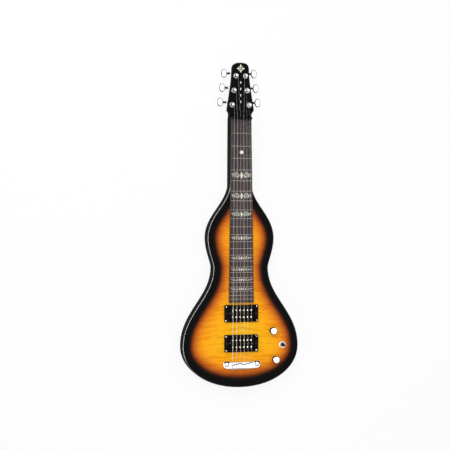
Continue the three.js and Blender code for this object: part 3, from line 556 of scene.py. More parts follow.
class Nodes:
    """The nodes of a material or of the world"""

    def __init__(self, tree):
        self.tree = tree

    def feed(self, socket, value):
        if isinstance(value, bpy.types.NodeSocket):
            self.tree.links.new(value, socket)
        else:
            socket.default_value = value

    def add(self, kind, inputs=None, **settings):
        node = self.tree.nodes.new(kind)
        for setting, value in settings.items():
            setattr(node, setting, value)
        for socket, value in (inputs or {}).items():
            self.feed(node.inputs[socket], value)
        return node

    def parts(self, vector):
        return self.add("ShaderNodeSeparateXYZ", {"Vector": vector}).outputs

    def scaled(self, vector, x, y, z):
        return self.add("ShaderNodeMapping", {"Vector": vector, "Scale": (x, y, z)}).outputs[0]

    def noise(self, where, scale=1.0, detail=3.0, distortion=0.0):
        inputs = {"Vector": where, "Scale": scale, "Detail": detail, "Distortion": distortion}
        return self.add("ShaderNodeTexNoise", inputs).outputs[0]

    def ramp(self, share, stops):
        node = self.add("ShaderNodeValToRGB", {"Fac": share})
        elements = node.color_ramp.elements
        while len(elements) < len(stops):
            elements.new(1)
        for element, (position, code) in zip(elements, stops):
            element.position = position
            element.color = colour(code)
        return node.outputs["Color"]

    def spread(self, share, low, high, start=0.0, end=1.0):
        """A share between start and end, mapped to low and high"""
        inputs = {"Value": share, "From Min": start, "From Max": end, "To Min": low, "To Max": high}
        return self.add("ShaderNodeMapRange", inputs).outputs[0]

    def tones(self, share, dark, light):
        return self.ramp(share, [(0.3, dark), (0.7, light)])

    def stained(self, base, share, stain):
        """A colour multiplied by another one, as far as the share says"""
        inputs = {0: share, 6: base, 7: stain}
        settings = {"data_type": "RGBA", "blend_type": "MULTIPLY"}
        return self.add("ShaderNodeMix", inputs, **settings).outputs[2]

    def maths(self, operation, first, second=0.0):
        return self.add("ShaderNodeMath", {0: first, 1: second}, operation=operation).outputs[0]

    def plus(self, first, second):
        return self.maths("ADD", first, second)

    def times(self, first, second):
        return self.maths("MULTIPLY", first, second)

    def mixed(self, first, share, second):
        """Two values added up, the first one times its share and the second one times the rest"""
        return self.plus(self.times(first, share), self.times(second, 1 - share))

    def larger(self, first, second):
        return self.maths("MAXIMUM", first, second)

    def seen(self):
        """One where a camera, glossy or transmission ray looks, and zero elsewhere"""
        path = self.add("ShaderNodeLightPath").outputs
        seen = self.larger(path["Is Camera Ray"], path["Is Glossy Ray"])
        return self.larger(seen, path["Is Transmission Ray"])


class Finish(Nodes):
    """A material with its nodes, and the slot that it belongs to"""

    def __init__(self, name, slot, **sockets):
        self.slot = slot
        self.material = bpy.data.materials.new(name)
        self.material.use_nodes = True
        super().__init__(self.material.node_tree)
        self.shader = self.tree.nodes["Principled BSDF"]
        self.place = self.add("ShaderNodeTexCoord").outputs["Object"]
        for socket, value in sockets.items():
            self.feed(self.shader.inputs[socket.replace("_", " ")], value)

    def stretched(self, x, y, z):
        """Places in metres, times a number along each axis"""
        return self.scaled(self.place, x, y, z)

    def polish(self, wear, smooth, rough, satin=0.8):
        """A polish with some wear, which turns satin where the surface is seen at a low angle"""
        facing = self.add("ShaderNodeLayerWeight", {"Blend": 0.5}).outputs["Facing"]
        return self.larger(self.spread(wear, smooth, rough), self.spread(facing, 0, satin, 0.5, 0.75))

    def paint(self, base, roughness, height=None, strength=0):
        self.feed(self.shader.inputs["Base Color"], base)
        self.feed(self.shader.inputs["Roughness"], roughness)
        if strength:
            inputs = {"Height": height, "Strength": strength, "Distance": BUMP_DEPTH}
            self.feed(self.shader.inputs["Normal"], self.add("ShaderNodeBump", inputs).outputs[0])
        return self


def black_lacquer():
    """Deep gloss black, with faint swirls from polishing"""
    finish = Finish("black_lacquer_gloss", "black_lacquer", Specular_IOR_Level=LACQUER_SPECULAR)
    clouds = finish.noise(finish.place, scale=9.0, detail=5.0)
    swirls = finish.noise(finish.stretched(160, 40, 90), detail=4.0, distortion=1.5)
    base = finish.tones(clouds, "060607", "0B0B0D")
    return finish.paint(base, finish.polish(swirls, 0.06, 0.15), clouds, 0.05)


def burst_maple():
    """Flamed maple under a clear coat: yellow in the middle, through orange and red-brown to black"""
    finish = Finish("burst_maple_gloss", "burst_maple", Specular_IOR_Level=LACQUER_SPECULAR)
    edge = finish.add("ShaderNodeAttribute", attribute_name="burst").outputs["Fac"]
    clouds = finish.noise(finish.place, scale=22.0)
    depth = finish.plus(edge, finish.times(finish.plus(clouds, -0.5), 0.04))
    stops = [(0.0, "08070A"), (0.14, "0A0808"), (0.175, "1C100C"), (0.2, "3A1B0E"), (0.23, "6C3212")]
    stops += [(0.26, "924816"), (0.29, "B0581A"), (0.33, "CC6C1C"), (0.38, "E0801C"), (0.43, "EC901C")]
    stops += [(0.5, "F8A01A"), (0.6, "FFAC18"), (0.9, "FFB618"), (1.0, "FFBC16"), (BURST_REACH, "FFC414")]
    shares = [(place / BURST_REACH, code) for place, code in stops]
    base = finish.ramp(finish.times(depth, 1 / BURST_REACH), shares)
    parts = finish.parts(finish.place)
    mirrored_x = finish.maths("ABSOLUTE", parts["X"])
    tilted_y = finish.plus(parts["Y"], finish.times(mirrored_x, 0.08))
    book = finish.add("ShaderNodeCombineXYZ", {"X": mirrored_x, "Y": tilted_y}).outputs[0]
    flames = finish.noise(finish.scaled(book, 16, 150, 1), detail=4.0, distortion=0.9)
    curls = finish.noise(finish.scaled(book, 30, 380, 1), distortion=0.8)
    figure = finish.mixed(flames, 0.55, curls)
    shade = finish.ramp(figure, [(0.36, "CC9258"), (0.45, "EECFAA"), (0.52, "FFFFFF"), (1.0, "FFFFFF")])
    grain = finish.noise(finish.stretched(600, 24, 600), detail=2.0)
    pores = finish.ramp(grain, [(0.3, "F0E6D8"), (0.5, "FFFFFF")])
    base = finish.stained(finish.stained(base, 0.5, shade), 0.25, pores)
    return finish.paint(base, finish.polish(clouds, 0.06, 0.13), figure, 0.03)


def rosewood():
    """Dark open-grained wood, streaked along the strings"""
    finish = Finish("rosewood_oiled", "rosewood", Specular_IOR_Level=0.35)
    streaks = finish.noise(finish.stretched(420, 9, 420), detail=5.0, distortion=0.5)
    pores = finish.noise(finish.stretched(1700, 70, 1700), detail=2.0)
    base = finish.ramp(streaks, [(0.3, "20141A"), (0.46, "302324"), (0.6, "443234"), (0.75, "584440")])
    dark = finish.ramp(pores, [(0.34, "8E8288"), (0.46, "FFFFFF")])
    base = finish.stained(base, 0.6, dark)
    return finish.paint(base, finish.spread(pores, 0.6, 0.48, 0.35, 0.6), pores, 0.12)


def clouded(name, slot, specular, grain, detail, distortion, roughness, bump, stops):
    """A surface in soft clouds of colour, which also change its roughness and its height a little"""
    finish = Finish(name, slot, Specular_IOR_Level=specular)
    clouds = finish.noise(finish.stretched(*grain), detail=detail, distortion=distortion)
    return finish.paint(finish.ramp(clouds, stops), finish.spread(clouds, *roughness), clouds, bump)


def metal(name, slot, light, dark, smooth, rough):
    """A metal with faint smudges and fine scratches"""
    finish = Finish(name, slot, Metallic=1.0)
    smudges = finish.noise(finish.place, scale=60.0, detail=5.0)
    scratches = finish.noise(finish.stretched(900, 120, 900), detail=2.0)
    base = finish.tones(smudges, dark, light)
    wear = finish.mixed(smudges, 0.7, scratches)
    return finish.paint(base, finish.spread(wear, smooth, rough, 0.3, 0.7), scratches, 0.02)


def string_metal(name, over_pickups, over_board, over_head, bands):
    """Steel with a painted reflection, lighter over the pickups and darker towards the head, with fine
    bands across it
    """
    finish = Finish(name, "string_steel", Metallic=1.0)
    wave = {"Vector": finish.place, "Scale": 620.0}
    turns = finish.add("ShaderNodeTexWave", wave, bands_direction="Y")
    dirt = finish.noise(finish.stretched(200, 30, 200))
    # Painted reflection along the string: its colour goes from light over the pickups to dark at the head
    along = finish.spread(finish.parts(finish.place)["Y"], 0, 1, *STRING_SHEEN_SPAN)
    stops = [(0.0, over_pickups), (0.3, over_board), (0.8, over_board), (1.0, over_head)]
    base = finish.stained(finish.ramp(along, stops), 1.0, finish.tones(dirt, "D8D4D0", "FFFFFF"))
    return finish.paint(base, finish.spread(dirt, 0.34, 0.46), turns.outputs["Fac"], bands)


def moulded(name, slot, light, dark, scale):
    """A moulded or polished black part with a fine texture"""
    finish = Finish(name, slot, Specular_IOR_Level=PLASTIC_SPECULAR)
    grain = finish.noise(finish.place, scale=scale, detail=2.0)
    clouds = finish.noise(finish.place, scale=35.0, detail=4.0)
    base = finish.tones(clouds, dark, light)
    return finish.paint(base, finish.spread(clouds, 0.3, 0.42, 0.3, 0.7), grain, 0.02)


LACQUER = black_lacquer()
LACQUER_EDGE = clouded(
    "black_lacquer_edge", "black_lacquer", 1.0, (60, 60, 60), 3.0, 0.0, (0.14, 0.22), 0,
    [(0.3, "060607"), (0.7, "0B0B0D")],
)
MAPLE = burst_maple()
ROSEWOOD = rosewood()
PEARL = clouded(
    "pearl_cream", "pearl", 0.5, (180, 420, 180), 3.0, 2.0, (0.14, 0.26), 0.03,
    [(0.3, "E9DCC9"), (0.45, "F6F0E2"), (0.55, "E8DAD2"), (0.65, "DCE6DA"), (0.8, "FAF6EC")],
)
ABALONE = clouded(
    "abalone_shell", "pearl", 0.5, (260, 600, 260), 4.0, 2.5, (0.12, 0.24), 0.03,
    [(0.3, "2E6E62"), (0.42, "8FC0A0"), (0.5, "E2D6A8"), (0.6, "C4847C"), (0.76, "3E7C7C")],
)
GREY_SHELL = clouded(
    "grey_shell", "pearl", 0.5, (300, 500, 300), 4.0, 2.0, (0.14, 0.26), 0.03,
    [(0.3, "8A9A90"), (0.42, "F0E6DA"), (0.52, "A4C4B0"), (0.62, "F2E4DC"), (0.76, "C89A94")],
)
LINE = clouded(
    "position_line", "pearl", 0.4, (60, 300, 300), 4.0, 0.0, (0.35, 0.5), 0.05,
    [(0.3, "968C86"), (0.7, "B8AFA8")],
)
CHROME = metal("chrome_plate", "chrome", "F2F3F4", "E2E3E5", 0.05, 0.14)
CHROME_DULL = metal("chrome_dull", "chrome", "B2B0B0", "98989A", 0.2, 0.34)
# Chrome painted dark for the tuner keys' rims and shafts: painted shade and dark reflection
CHROME_SHADE = metal("chrome_painted_shade", "chrome", "3C3F43", "2A2C30", 0.2, 0.34)
# Painted shade: a darker chrome for the bridge's ridge
RIDGE = metal("chrome_ridge_painted_shade", "chrome", "86878A", "6C6D70", 0.25, 0.4)
# Painted shade: a dark, rough metal for the plates laid in the stud slots
RECESS_SHADE = metal("recess_painted_shade", "chrome", "26272A", "1A1B1D", 0.5, 0.65)
# Chrome painted dark for the knobs' grips: painted shade and dark reflection on their sides
GRIP_SHADE = metal("chrome_grip_painted_shade", "chrome", "2C2E30", "1C1D20", 0.45, 0.6)
NICKEL = metal("nickel_plate", "nickel_steel", "EEECE8", "DCDAD6", 0.18, 0.32)
STEEL_DULL = metal("steel_dull", "nickel_steel", "4A4948", "363534", 0.4, 0.55)
PLAIN_STRING = string_metal("plain_string", "D6C8A8", "C2C0C0", "76767A", 0.02)
BRASS = metal("brass_turned", "brass", "C9A45A", "A98542", 0.25, 0.4)
ZINC = metal("zinc_cast", "zinc", "A9ABAD", "8C8E90", 0.4, 0.55)
WOUND_STRING = string_metal("wound_string", "BCB09C", "8E8A88", "5C5856", 0.25)
PLASTIC = moulded("black_plastic_satin", "black_plastic", "0F0F11", "08080A", 900.0)
BONE = moulded("black_bone_polished", "black_bone", "121214", "0A0A0C", 500.0)


# Woodwork


def body_outline():
    """The body from the heel over the two bouts to the tail, seen from above"""
    half = []
    for (x0, y0), (x1, y1), (leave, arrive) in zip(STATIONS, STATIONS[1:], STATION_SHARES):
        drop = y0 - y1
        half += curve([(x0, y0), (x0, y0 - leave * drop), (x1, y1 + arrive * drop), (x1, y1)])
    widest, widest_at = STATIONS[-1]
    leave_y = widest_at - (TAIL + widest_at) * TAIL_SHARE
    half += curve([STATIONS[-1], (widest, leave_y), (widest * TAIL_SHARE, -TAIL), (0, -TAIL)])
    return mirrored(half + [(0, -TAIL)])


def cavity_outline(grow):
    left, right, back, front, corner = CAVITY
    return rectangle(left - grow, right + grow, back - grow, front + grow, corner + grow)


def route_outline(y):
    half_length, half_width, corner, _ = ROUTE
    return centred(half_length, y, half_width, corner)


def jack_round(radius, start, end):
    """A rod along X at the output jack's height, between two X places"""
    rod = along_x(lathe([(0, start), (radius, start), (radius, end), (0, end)]))
    return shifted(rod, 0, JACK_AT, JACK_HEIGHT)


def heel_lift(y):
    """How far the core's back rises from the floor, on the ramp ahead of the body"""
    return NECK_BACK * eased((y - (BODY_START - RAMP_LENGTH)) / RAMP_LENGTH)


def body_core():
    blank = slab(body_outline(), 0, CORE_TOP, round_bottom=CORE_ROUND)
    rows = np.linspace(BODY_START - RAMP_LENGTH, BODY_START - 1, RAMP_ROWS)
    points, faces = sliced(blank, 1, rows)
    points = [(x, y, z + heel_lift(y) * (1 - z / CORE_TOP)) for x, y, z in points]
    below = -CORE_ROUND
    tools = [slab(cavity_outline(0), below, CAVITY_TOP)]
    tools += [slab(cavity_outline(COVER_LEDGE), below, COVER_TOP + FIT)]
    tools += [slab(route_outline(y), ROUTE[3], FACE) for y in PICKUPS.values()]
    tools += [jack_round(radius, start, JACK_OUTSIDE) for radius, start in JACK_BORES]
    piece("body_shell", carved((points, faces), tools), LACQUER, stands_for=["body_core"])


def edge_distances(points, outline):
    """How far each point lies from the outline"""
    outline = np.array(outline, float)
    along = np.roll(outline, -1, axis=0) - outline
    offset = points[:, None, :] - outline[None]
    share = (offset * along[None]).sum(axis=2) / (along**2).sum(axis=1)[None]
    nearest = offset - np.clip(share, 0, 1)[:, :, None] * along[None]
    return np.sqrt((nearest**2).sum(axis=2)).min(axis=1)


def maple_top():
    outline = body_outline()
    holes = [route_outline(y) for y in PICKUPS.values()]
    holes += [circle(side * STUD_AT, -SCALE_LENGTH, STUD_HOLE) for side in (-1, 1)]
    holes += [circle(*place, CONTROL_HOLE) for place in (VOLUME, TONE)]
    holes += [circle(*SWITCH, SWITCH_HOLE)]
    form = slab(outline, CORE_TOP, FACE, 0, TOP_ROUND, holes, HOLE_ROUND)
    widest = STATIONS[-1][0]
    form = sliced(form, 0, np.arange(-widest + BURST_GRID / 2, widest, BURST_GRID))
    form = sliced(form, 1, np.arange(-TAIL + BURST_GRID / 2, BODY_START, BURST_GRID))
    top = piece("burst_top", form, MAPLE, stands_for=["maple_top"])
    places = np.array([vertex.co[:2] for vertex in top.data.vertices]) / MM
    places[:, 1] -= NUT_LINE
    distance = edge_distances(places, outline)
    tail_share = np.clip((-places[:, 1] - BURST_TAIL[0]) / (BURST_TAIL[1] - BURST_TAIL[0]), 0, 1)
    reach = 1 - TAIL_WIDENING * tail_share
    burst = top.data.attributes.new("burst", "FLOAT", "POINT")
    burst.data.foreach_set("value", (distance * reach / BURST_UNIT).astype(np.float32))


def face_rim():
    """The lacquer's bright edge: a thin band round the face's rounded rim"""
    outline = counter_clockwise(body_outline())
    turns = [math.radians(angle) for angle in RIM_TURNS]
    levels = [(TOP_ROUND + RIM_PROUD, turn) for turn in turns]
    levels += [(TOP_ROUND - RIM_SUNK, turn) for turn in reversed(turns)]
    rings = []
    for radius, turn in levels:
        height = FACE - TOP_ROUND + radius * math.cos(turn)
        ring = inset(outline, TOP_ROUND - radius * math.sin(turn))
        rings.append([(x, y, height) for x, y in ring])
    points = [point for section in zip(*rings) for point in section]
    piece("face_rim", lofted(points, len(levels)), LACQUER_EDGE)


def head_half_outline():
    """The neck's and head's right side, from the nut to the tip of the crown"""
    ear, shoulder, tip = (EAR_HALF, EAR_AT), (SHOULDER_HALF, SHOULDER_AT), (0, CROWN)
    side = SHOULDER_AT - EAR_AT
    taper = EAR_HALF - SHOULDER_HALF
    half = curve([(NUT_HALF, 0), (NUT_HALF, EAR_AT * 0.45), (NUT_HALF, EAR_AT * 0.72), ear])
    leave = (EAR_HALF - taper * 0.2, EAR_AT + side * 0.2)
    half += curve([ear, leave, (SHOULDER_HALF, EAR_AT + side * 0.72), shoulder])
    leave = (SHOULDER_HALF, SHOULDER_AT + (CROWN - SHOULDER_AT) * 0.7)
    half += curve([shoulder, leave, (SHOULDER_HALF * 0.8, CROWN), tip], 2 * CURVE_STEPS)
    return half + [tip]


def neck_section(y, half):
    """One ring of the neck: a rectangle with round corners, drawn in at the crown's tip"""
    near_tip = max(y - (CROWN - HEAD_ROUND), 0)
    inner = HEAD_ROUND - math.sqrt(max(HEAD_ROUND**2 - near_tip**2, 0))
    back = NECK_BACK + (HEAD_BACK - NECK_BACK) * eased(y / HEAD_BACK_AT)
    face = FACE + (HEAD_FACE - FACE) * clamped((y - NUT_THICKNESS) / (HEAD_FACE_AT - NUT_THICKNESS))
    bend = HEAD_ROUND + (NECK_ROUND - HEAD_ROUND) * clamped(1 - y / HEAD_BACK_AT)
    face_round = min(FACE_ROUND if y < HEAD_FACE_AT else HEAD_ROUND, half / 2)
    plan = (-half, half, back + inner, face - inner, face_round, min(bend, half / 2))
    return [(x, y, z) for x, z in rectangle(*plan, ROUND_STEPS)]


def neck():
    halves, along = zip((HEEL_HALF, BODY_START), *head_half_outline())
    rows = [*np.linspace(BODY_START, 0, NECK_ROWS), *np.arange(NECK_STEP, HEAD_START, NECK_STEP)]
    rows += [*np.arange(HEAD_START, SHOULDER_AT, HEAD_STEP)]
    rows += [*np.linspace(SHOULDER_AT, CROWN - CROWN_ROWS[0], NECK_ROWS)]
    rows += [CROWN - row for row in CROWN_ROWS[1:]]
    rings = [neck_section(float(y), float(np.interp(y, along, halves))) for y in rows]
    form = lofted([point for ring in rings for point in ring], len(rings[0]))
    piece("neck_and_head", form, LACQUER, stands_for=["neck"])


def board_half(y):
    return BOARD_NUT_HALF + (BOARD_END_HALF - BOARD_NUT_HALF) * y / BOARD_END


def fretboard():
    end = BOARD_END + BOARD_CORNER
    outline = [(BOARD_NUT_HALF, 0), (-BOARD_NUT_HALF, 0)]
    outline += arc(-BOARD_END_HALF + BOARD_CORNER, end, BOARD_CORNER, 0.5, 0.75)
    outline += arc(BOARD_END_HALF - BOARD_CORNER, end, BOARD_CORNER, 0.75, 1)
    form = slab(outline, FACE, BOARD_TOP, round_top=BOARD_ROUND)
    piece("fingerboard", form, ROSEWOOD, stands_for=["fretboard"])


def fret_place(number):
    return -SCALE_LENGTH * (1 - 2 ** (-number / 12))


def flat_inlay(outline, proud=FLAT_PROUD):
    return slab(outline, BOARD_TOP - INLAY_SUNK, BOARD_TOP + proud)


def position_lines():
    strips = []
    for number in range(1, LINES + 1):
        y = fret_place(number)
        strips.append(flat_inlay(box(board_half(y) - LINE_MARGIN, LINE_HALF, y)))
    piece("position_lines", joined(strips), LINE)


def leaf(x, y, length, width, angle):
    """A lens-shaped leaf that starts at a point and grows away from it"""
    bow = [(share / 8, math.sin(math.pi * share / 8) ** 0.8) for share in range(9)]
    upper = [(along * length, swell * width / 2) for along, swell in bow]
    outline = upper + [(across, -swell) for across, swell in reversed(upper[1:-1])]
    turn = math.radians(angle)
    return [
        (x + a * math.cos(turn) - b * math.sin(turn), y + a * math.sin(turn) + b * math.cos(turn))
        for a, b in outline
    ]


def spray(y, half, height):
    """A twig across the board with a lozenge in its middle, as outlines in pearl and in shell"""
    reach = half - SPRAY_MARGIN
    shares = [step / TWIG_STEPS for step in range(-TWIG_STEPS, TWIG_STEPS + 1)]
    waves = [(share * reach, height * 0.1 * math.cos(share * math.tau)) for share in shares]
    twig = [(x, y + wave + TWIG_HALF) for x, wave in waves]
    twig += [(x, y + wave - TWIG_HALF) for x, wave in reversed(waves)]
    wide = height * 0.19
    pearl_parts, shell_parts = [twig, lozenge(wide, height * 0.42, y)], []
    for row in range(SPRAY_ROWS):
        start = wide + (reach - wide) * (row + 0.25) / SPRAY_ROWS
        length = height * (0.62 - 0.11 * row)
        width = min(length * 0.34, 2.1)
        outer, inner = (pearl_parts, shell_parts) if row % 2 else (shell_parts, pearl_parts)
        for side, angle in ((-1, 180 - SPRAY_ANGLE), (1, SPRAY_ANGLE)):
            outer.append(leaf(side * start, y, length, width, angle))
            inner.append(leaf(side * start, y, length * 0.7, width * 0.9, -angle))
    return pearl_parts, shell_parts


def board_inlays():
    pearl_forms, shell_forms = [], []
    for number in SPRAY_SPACES:
        low, high = fret_place(number), fret_place(number - 1)
        y = (low + high) / 2
        pearl_parts, shell_parts = spray(y, board_half(y), (high - low) * INLAY_SHARE)
        for order, part in enumerate(pearl_parts):
            pearl_forms.append(flat_inlay(part, PEARL_PROUD + PROUD_STEP * order))
        shell_forms += [flat_inlay(part, SHELL_PROUD) for part in shell_parts]
    dot_y = (fret_place(DOT_SPACE) + fret_place(DOT_SPACE - 1)) / 2
    piece("pearl_dot", flat_inlay(circle(0, dot_y, DOT_RADIUS)), PEARL)
    piece("pearl_sprays", joined(pearl_forms), GREY_SHELL)
    piece("shell_leaves", joined(shell_forms), ABALONE)


def four_leaves(first, reach, length, width):
    """Leaves round the middle of the head's flower, a quarter turn from each other"""
    leaves = []
    for step in range(4):
        angle = first + 90 * step
        turn = math.radians(angle)
        x, y = reach * math.cos(turn), FLOWER_AT + reach * math.sin(turn)
        leaves.append(leaf(x, y, length, width, angle))
    return leaves


def head_inlay():
    """A flower of eight leaves high on the head, and a row of small lozenges down its middle"""
    pearl_parts = four_leaves(0, 2.4, 8.6, 3.8) + [lozenge(1.9, 1.9, FLOWER_AT)]
    pearl_parts += [lozenge(1.7, 4.2, y) for y in LOZENGES_AT]
    shell_parts = four_leaves(45, 2.2, 6.4, 2.8)
    for name, parts, finish in (("pearl", pearl_parts, PEARL), ("shell", shell_parts, ABALONE)):
        forms = [slab(part, HEAD_FACE - 0.5, HEAD_FACE + SHELL_PROUD) for part in parts]
        piece(f"head_{name}", joined(forms), finish)


def string_x(index, spread):
    return (index / (len(DIAMETERS) - 1) - 0.5) * spread


def nut():
    """The nut's front view in X and Z, with a round-bottomed slot for each string"""
    outline = [(-BOARD_NUT_HALF, FACE), (BOARD_NUT_HALF, FACE), (BOARD_NUT_HALF, NUT_TOP)]
    for index in reversed(range(len(DIAMETERS))):
        x = string_x(index, NUT_SPREAD)
        radius = DIAMETERS[index] / 2 + SLOT_ROOM
        bottom = arc(x, STRING_REST - SLOT_ROOM + radius, radius, 0, -0.5, 6)
        outline += [(x + radius, NUT_TOP), *bottom, (x - radius, NUT_TOP)]
    outline.append((-BOARD_NUT_HALF, NUT_TOP))
    form = slab(outline, -NUT_THICKNESS, 0, NUT_EDGE, NUT_EDGE)
    piece("nut_block", moved(form, Matrix.Rotation(math.pi / 2, 4, "X")), BONE, stands_for=["nut"])


# Bridge and strings


def bar_outline():
    """The bar from above: its front lies a step back between the studs, and its rear bows out"""
    front_x = BRIDGE_HALF - BRIDGE_FRONT_ROUND
    rear_x = BRIDGE_HALF - BRIDGE_REAR_ROUND
    half = [(STUD_AT, BRIDGE_STEP), (STUD_AT, BRIDGE_FRONT)]
    half += arc(front_x, BRIDGE_FRONT - BRIDGE_FRONT_ROUND, BRIDGE_FRONT_ROUND, 0.25, 0)
    half += arc(rear_x, BRIDGE_END_REAR + BRIDGE_REAR_ROUND, BRIDGE_REAR_ROUND, 0, -0.25)
    half += curve([half[-1], (BRIDGE_SPREAD / 2, BRIDGE_REAR), (0, BRIDGE_REAR)])[1:]
    return mirrored(half + [(0, BRIDGE_REAR)])


def bar_top(y):
    """How far the bar's top lies below its highest line: it slopes to the front and to the tail"""
    room = (RIDGE_TRAVEL + RIDGE_WIDTH) / 2
    front = max(y + SCALE_LENGTH - room, 0) / (BRIDGE_FRONT + SCALE_LENGTH - room)
    rear = max(-SCALE_LENGTH - room - y, 0) / (-SCALE_LENGTH - room - BRIDGE_REAR)
    return BRIDGE_FRONT_DROP * front + BRIDGE_REAR_DROP * rear * rear


def stud_slot(side, half, front):
    """A slot's outline in an ear: round behind the stud, and straight to the front"""
    x = side * STUD_AT
    return arc(x, -SCALE_LENGTH, half, 0.5, 1, 16) + [(x + half, front), (x - half, front)]


def stud_tools():
    """What the ears are cut with: a narrow slot for each stud's neck, and a wide one for its head"""
    tools = []
    for side in (-1, 1):
        for half, bottom in ((STUD_SLOT_HALF, BRIDGE_BOTTOM - 3), (WELL_HALF, STUD_EAR)):
            tools.append(slab(stud_slot(side, half, BRIDGE_FRONT + 5), bottom, BRIDGE_TOP + 5))
    return tools


def ridge_y(index):
    return -SCALE_LENGTH + (0.5 - RIDGE_SHARES[index]) * RIDGE_TRAVEL


def ridge():
    """The stepped ridge: a block under each string, and a short block along the strings at each step"""
    half = RIDGE_WIDTH / 2
    places = [(string_x(index, BRIDGE_SPREAD), ridge_y(index)) for index in range(len(DIAMETERS))]
    reach = BRIDGE_SPREAD / (len(places) - 1) / 2 + half
    blocks = []
    for x, y in places:
        left = RIDGE_MARGIN if x == places[0][0] else reach
        right = RIDGE_MARGIN if x == places[-1][0] else reach
        blocks.append((rectangle(x - left, x + right, y - half, y + half, 1), 0))
    for (x0, y0), (x1, y1) in zip(places, places[1:]):
        x, back, front = (x0 + x1) / 2, min(y0, y1) - half, max(y0, y1) + half
        blocks.append((rectangle(x - half, x + half, back, front, 1), RIDGE_STEP_LOW))
    bottom = BRIDGE_TOP - RIDGE_SUNK
    return joined([slab(plan, bottom, RIDGE_TOP - low, 0, RIDGE_ROUND) for plan, low in blocks])


def bridge():
    form = slab(bar_outline(), BRIDGE_BOTTOM, BRIDGE_TOP, BRIDGE_BOTTOM_ROUND, BRIDGE_TOP_ROUND)
    form = sliced(form, 1, np.linspace(BRIDGE_REAR + 1, BRIDGE_FRONT - 1, BRIDGE_ROWS))
    points, faces = carved(form, stud_tools())
    middle = (BRIDGE_BOTTOM + BRIDGE_TOP) / 2
    half = BRIDGE_TOP - middle
    points = [(x, y, z - bar_top(y) * max(z - middle, 0) / half) for x, y, z in points]
    piece("bridge_bar", (points, faces), CHROME, stands_for=["bridge"])
    # The ridge is chrome painted darker than the bar, as painted shade
    piece("bridge_ridge", ridge(), RIDGE)
    # Dark plates on the floors of the stud slots: painted shade where the slots go deep beside the studs
    shade_plates = []
    for side in (-1, 1):
        outline = stud_slot(side, WELL_HALF - SHADE_PLATE_GAP, BRIDGE_FRONT - 1.2)
        hole = circle(side * STUD_AT, -SCALE_LENGTH, STUD_SLOT_HALF)
        shade_plates.append(slab(outline, STUD_EAR - 0.3, STUD_EAR + 0.1, holes=[hole]))
    piece("stud_slot_shade", joined(shade_plates), RECESS_SHADE)


def bridge_studs():
    slot = slab(box(8, 0.7), 54.7, 60)
    profile = [(0, 22.5), (4, 22.5), (4, 45.4), (6.6, 45.4), (6.6, 47.2)]
    profile += [(3.6, 47.2), (3.6, 53.9), (4.7, 53.9), (4.7, 56), (0, 56)]
    form = carved(lathe(softened(profile, 0.5)), [slot])
    for side, name in ((-1, "bass"), (1, "treble")):
        stud = shifted(form, side * STUD_AT, -SCALE_LENGTH)
        piece(f"stud_{name}", stud, CHROME, stands_for=[f"bridge_stud_{name}"])


def post_of(index):
    """Where a string's post stands, and on which side of the head"""
    x, y = POSTS[len(DIAMETERS) - index]
    return x, y, side_of(x)


def string_route(index):
    """A string's middle line: round the back of the bridge, over the ridge and the nut, to its post"""
    radius = DIAMETERS[index] / 2
    x = string_x(index, BRIDGE_SPREAD)
    start_y = BRIDGE_REAR - FIT - radius
    start_z = (BRIDGE_BOTTOM + BRIDGE_TOP) / 2
    top = STRING_REST + radius
    route = []
    for step in range(17):
        angle = step / 16 * math.pi / 2
        back = start_y - 3 * math.sin(angle) * math.cos(angle)
        ahead = (ridge_y(index) - start_y) * (1 - math.cos(angle)) ** 2
        route.append((x, back + ahead, start_z + (top - start_z) * math.sin(angle)))
    route += [(string_x(index, NUT_SPREAD), y, top) for y in (NUT_THICKNESS / 2, NUT_THICKNESS)]
    post_x, post_y, side = post_of(index)
    return route + [(post_x - side * (POST_RADIUS + FIT + radius), post_y, STRING_HOLE)]


def string_turns(index):
    """The turns of a string round its post, going down from where it arrives"""
    diameter = DIAMETERS[index]
    post_x, post_y, side = post_of(index)
    around = POST_RADIUS + FIT + diameter / 2
    route = []
    for step in range(int(min(TURNS_HEIGHT / diameter, MOST_TURNS) * TURN_STEPS) + 1):
        angle = (math.pi if side > 0 else 0) - side * step / TURN_STEPS * math.tau
        drop = step / TURN_STEPS * diameter * 1.04
        close = around - min(step / 6, 1) * (FIT + diameter * 0.1)
        x, y = post_x + close * math.cos(angle), post_y + close * math.sin(angle)
        route.append((x, y, STRING_HOLE - drop))
    return tube(route, diameter / 2)


def strings():
    for index, diameter in enumerate(DIAMETERS):
        number = len(DIAMETERS) - index
        finish = WOUND_STRING if index < WOUND_STRINGS else PLAIN_STRING
        form = tube(string_route(index), diameter / 2)
        piece(f"string_wire_{number}", form, finish, stands_for=[f"string_{number}"])
        piece(f"string_turns_{number}", string_turns(index), finish, f"post_{number}")


# Pickups


def cross_screw(radius, height):
    """A domed screw head with a cross recess, standing on zero"""
    dome = [(0, -1), (radius * 0.6, -1), (radius, 0), (radius, height * 0.4)]
    dome += [(radius * 0.75, height * 0.85), (radius * 0.35, height), (0, height)]
    long, wide = radius * 0.6, radius * 0.16
    bars = [slab(box(*half), height * 0.35, height * 2) for half in ((long, wide), (wide, long))]
    return carved(lathe(dome, SMALL_SIDES), bars)


def slotted_pole():
    """A pole screw: its head is two half discs with the slot between them"""
    radius, bottom, top = POLE_RADIUS, POLE_BOTTOM, POLE_TOP - 0.7
    shank = lathe([(0, bottom), (radius, bottom), (radius, top), (0, top)], SMALL_SIDES)
    gap = math.asin(POLE_SLOT / 2 / radius) / math.tau
    halves = []
    for start in (0, 0.5):
        outline = arc(0, 0, radius, start + gap, start + 0.5 - gap, 12)
        halves.append(slab(outline, POLE_TOP - 0.8, POLE_TOP, round_top=0.2))
    return joined([shank, *halves])


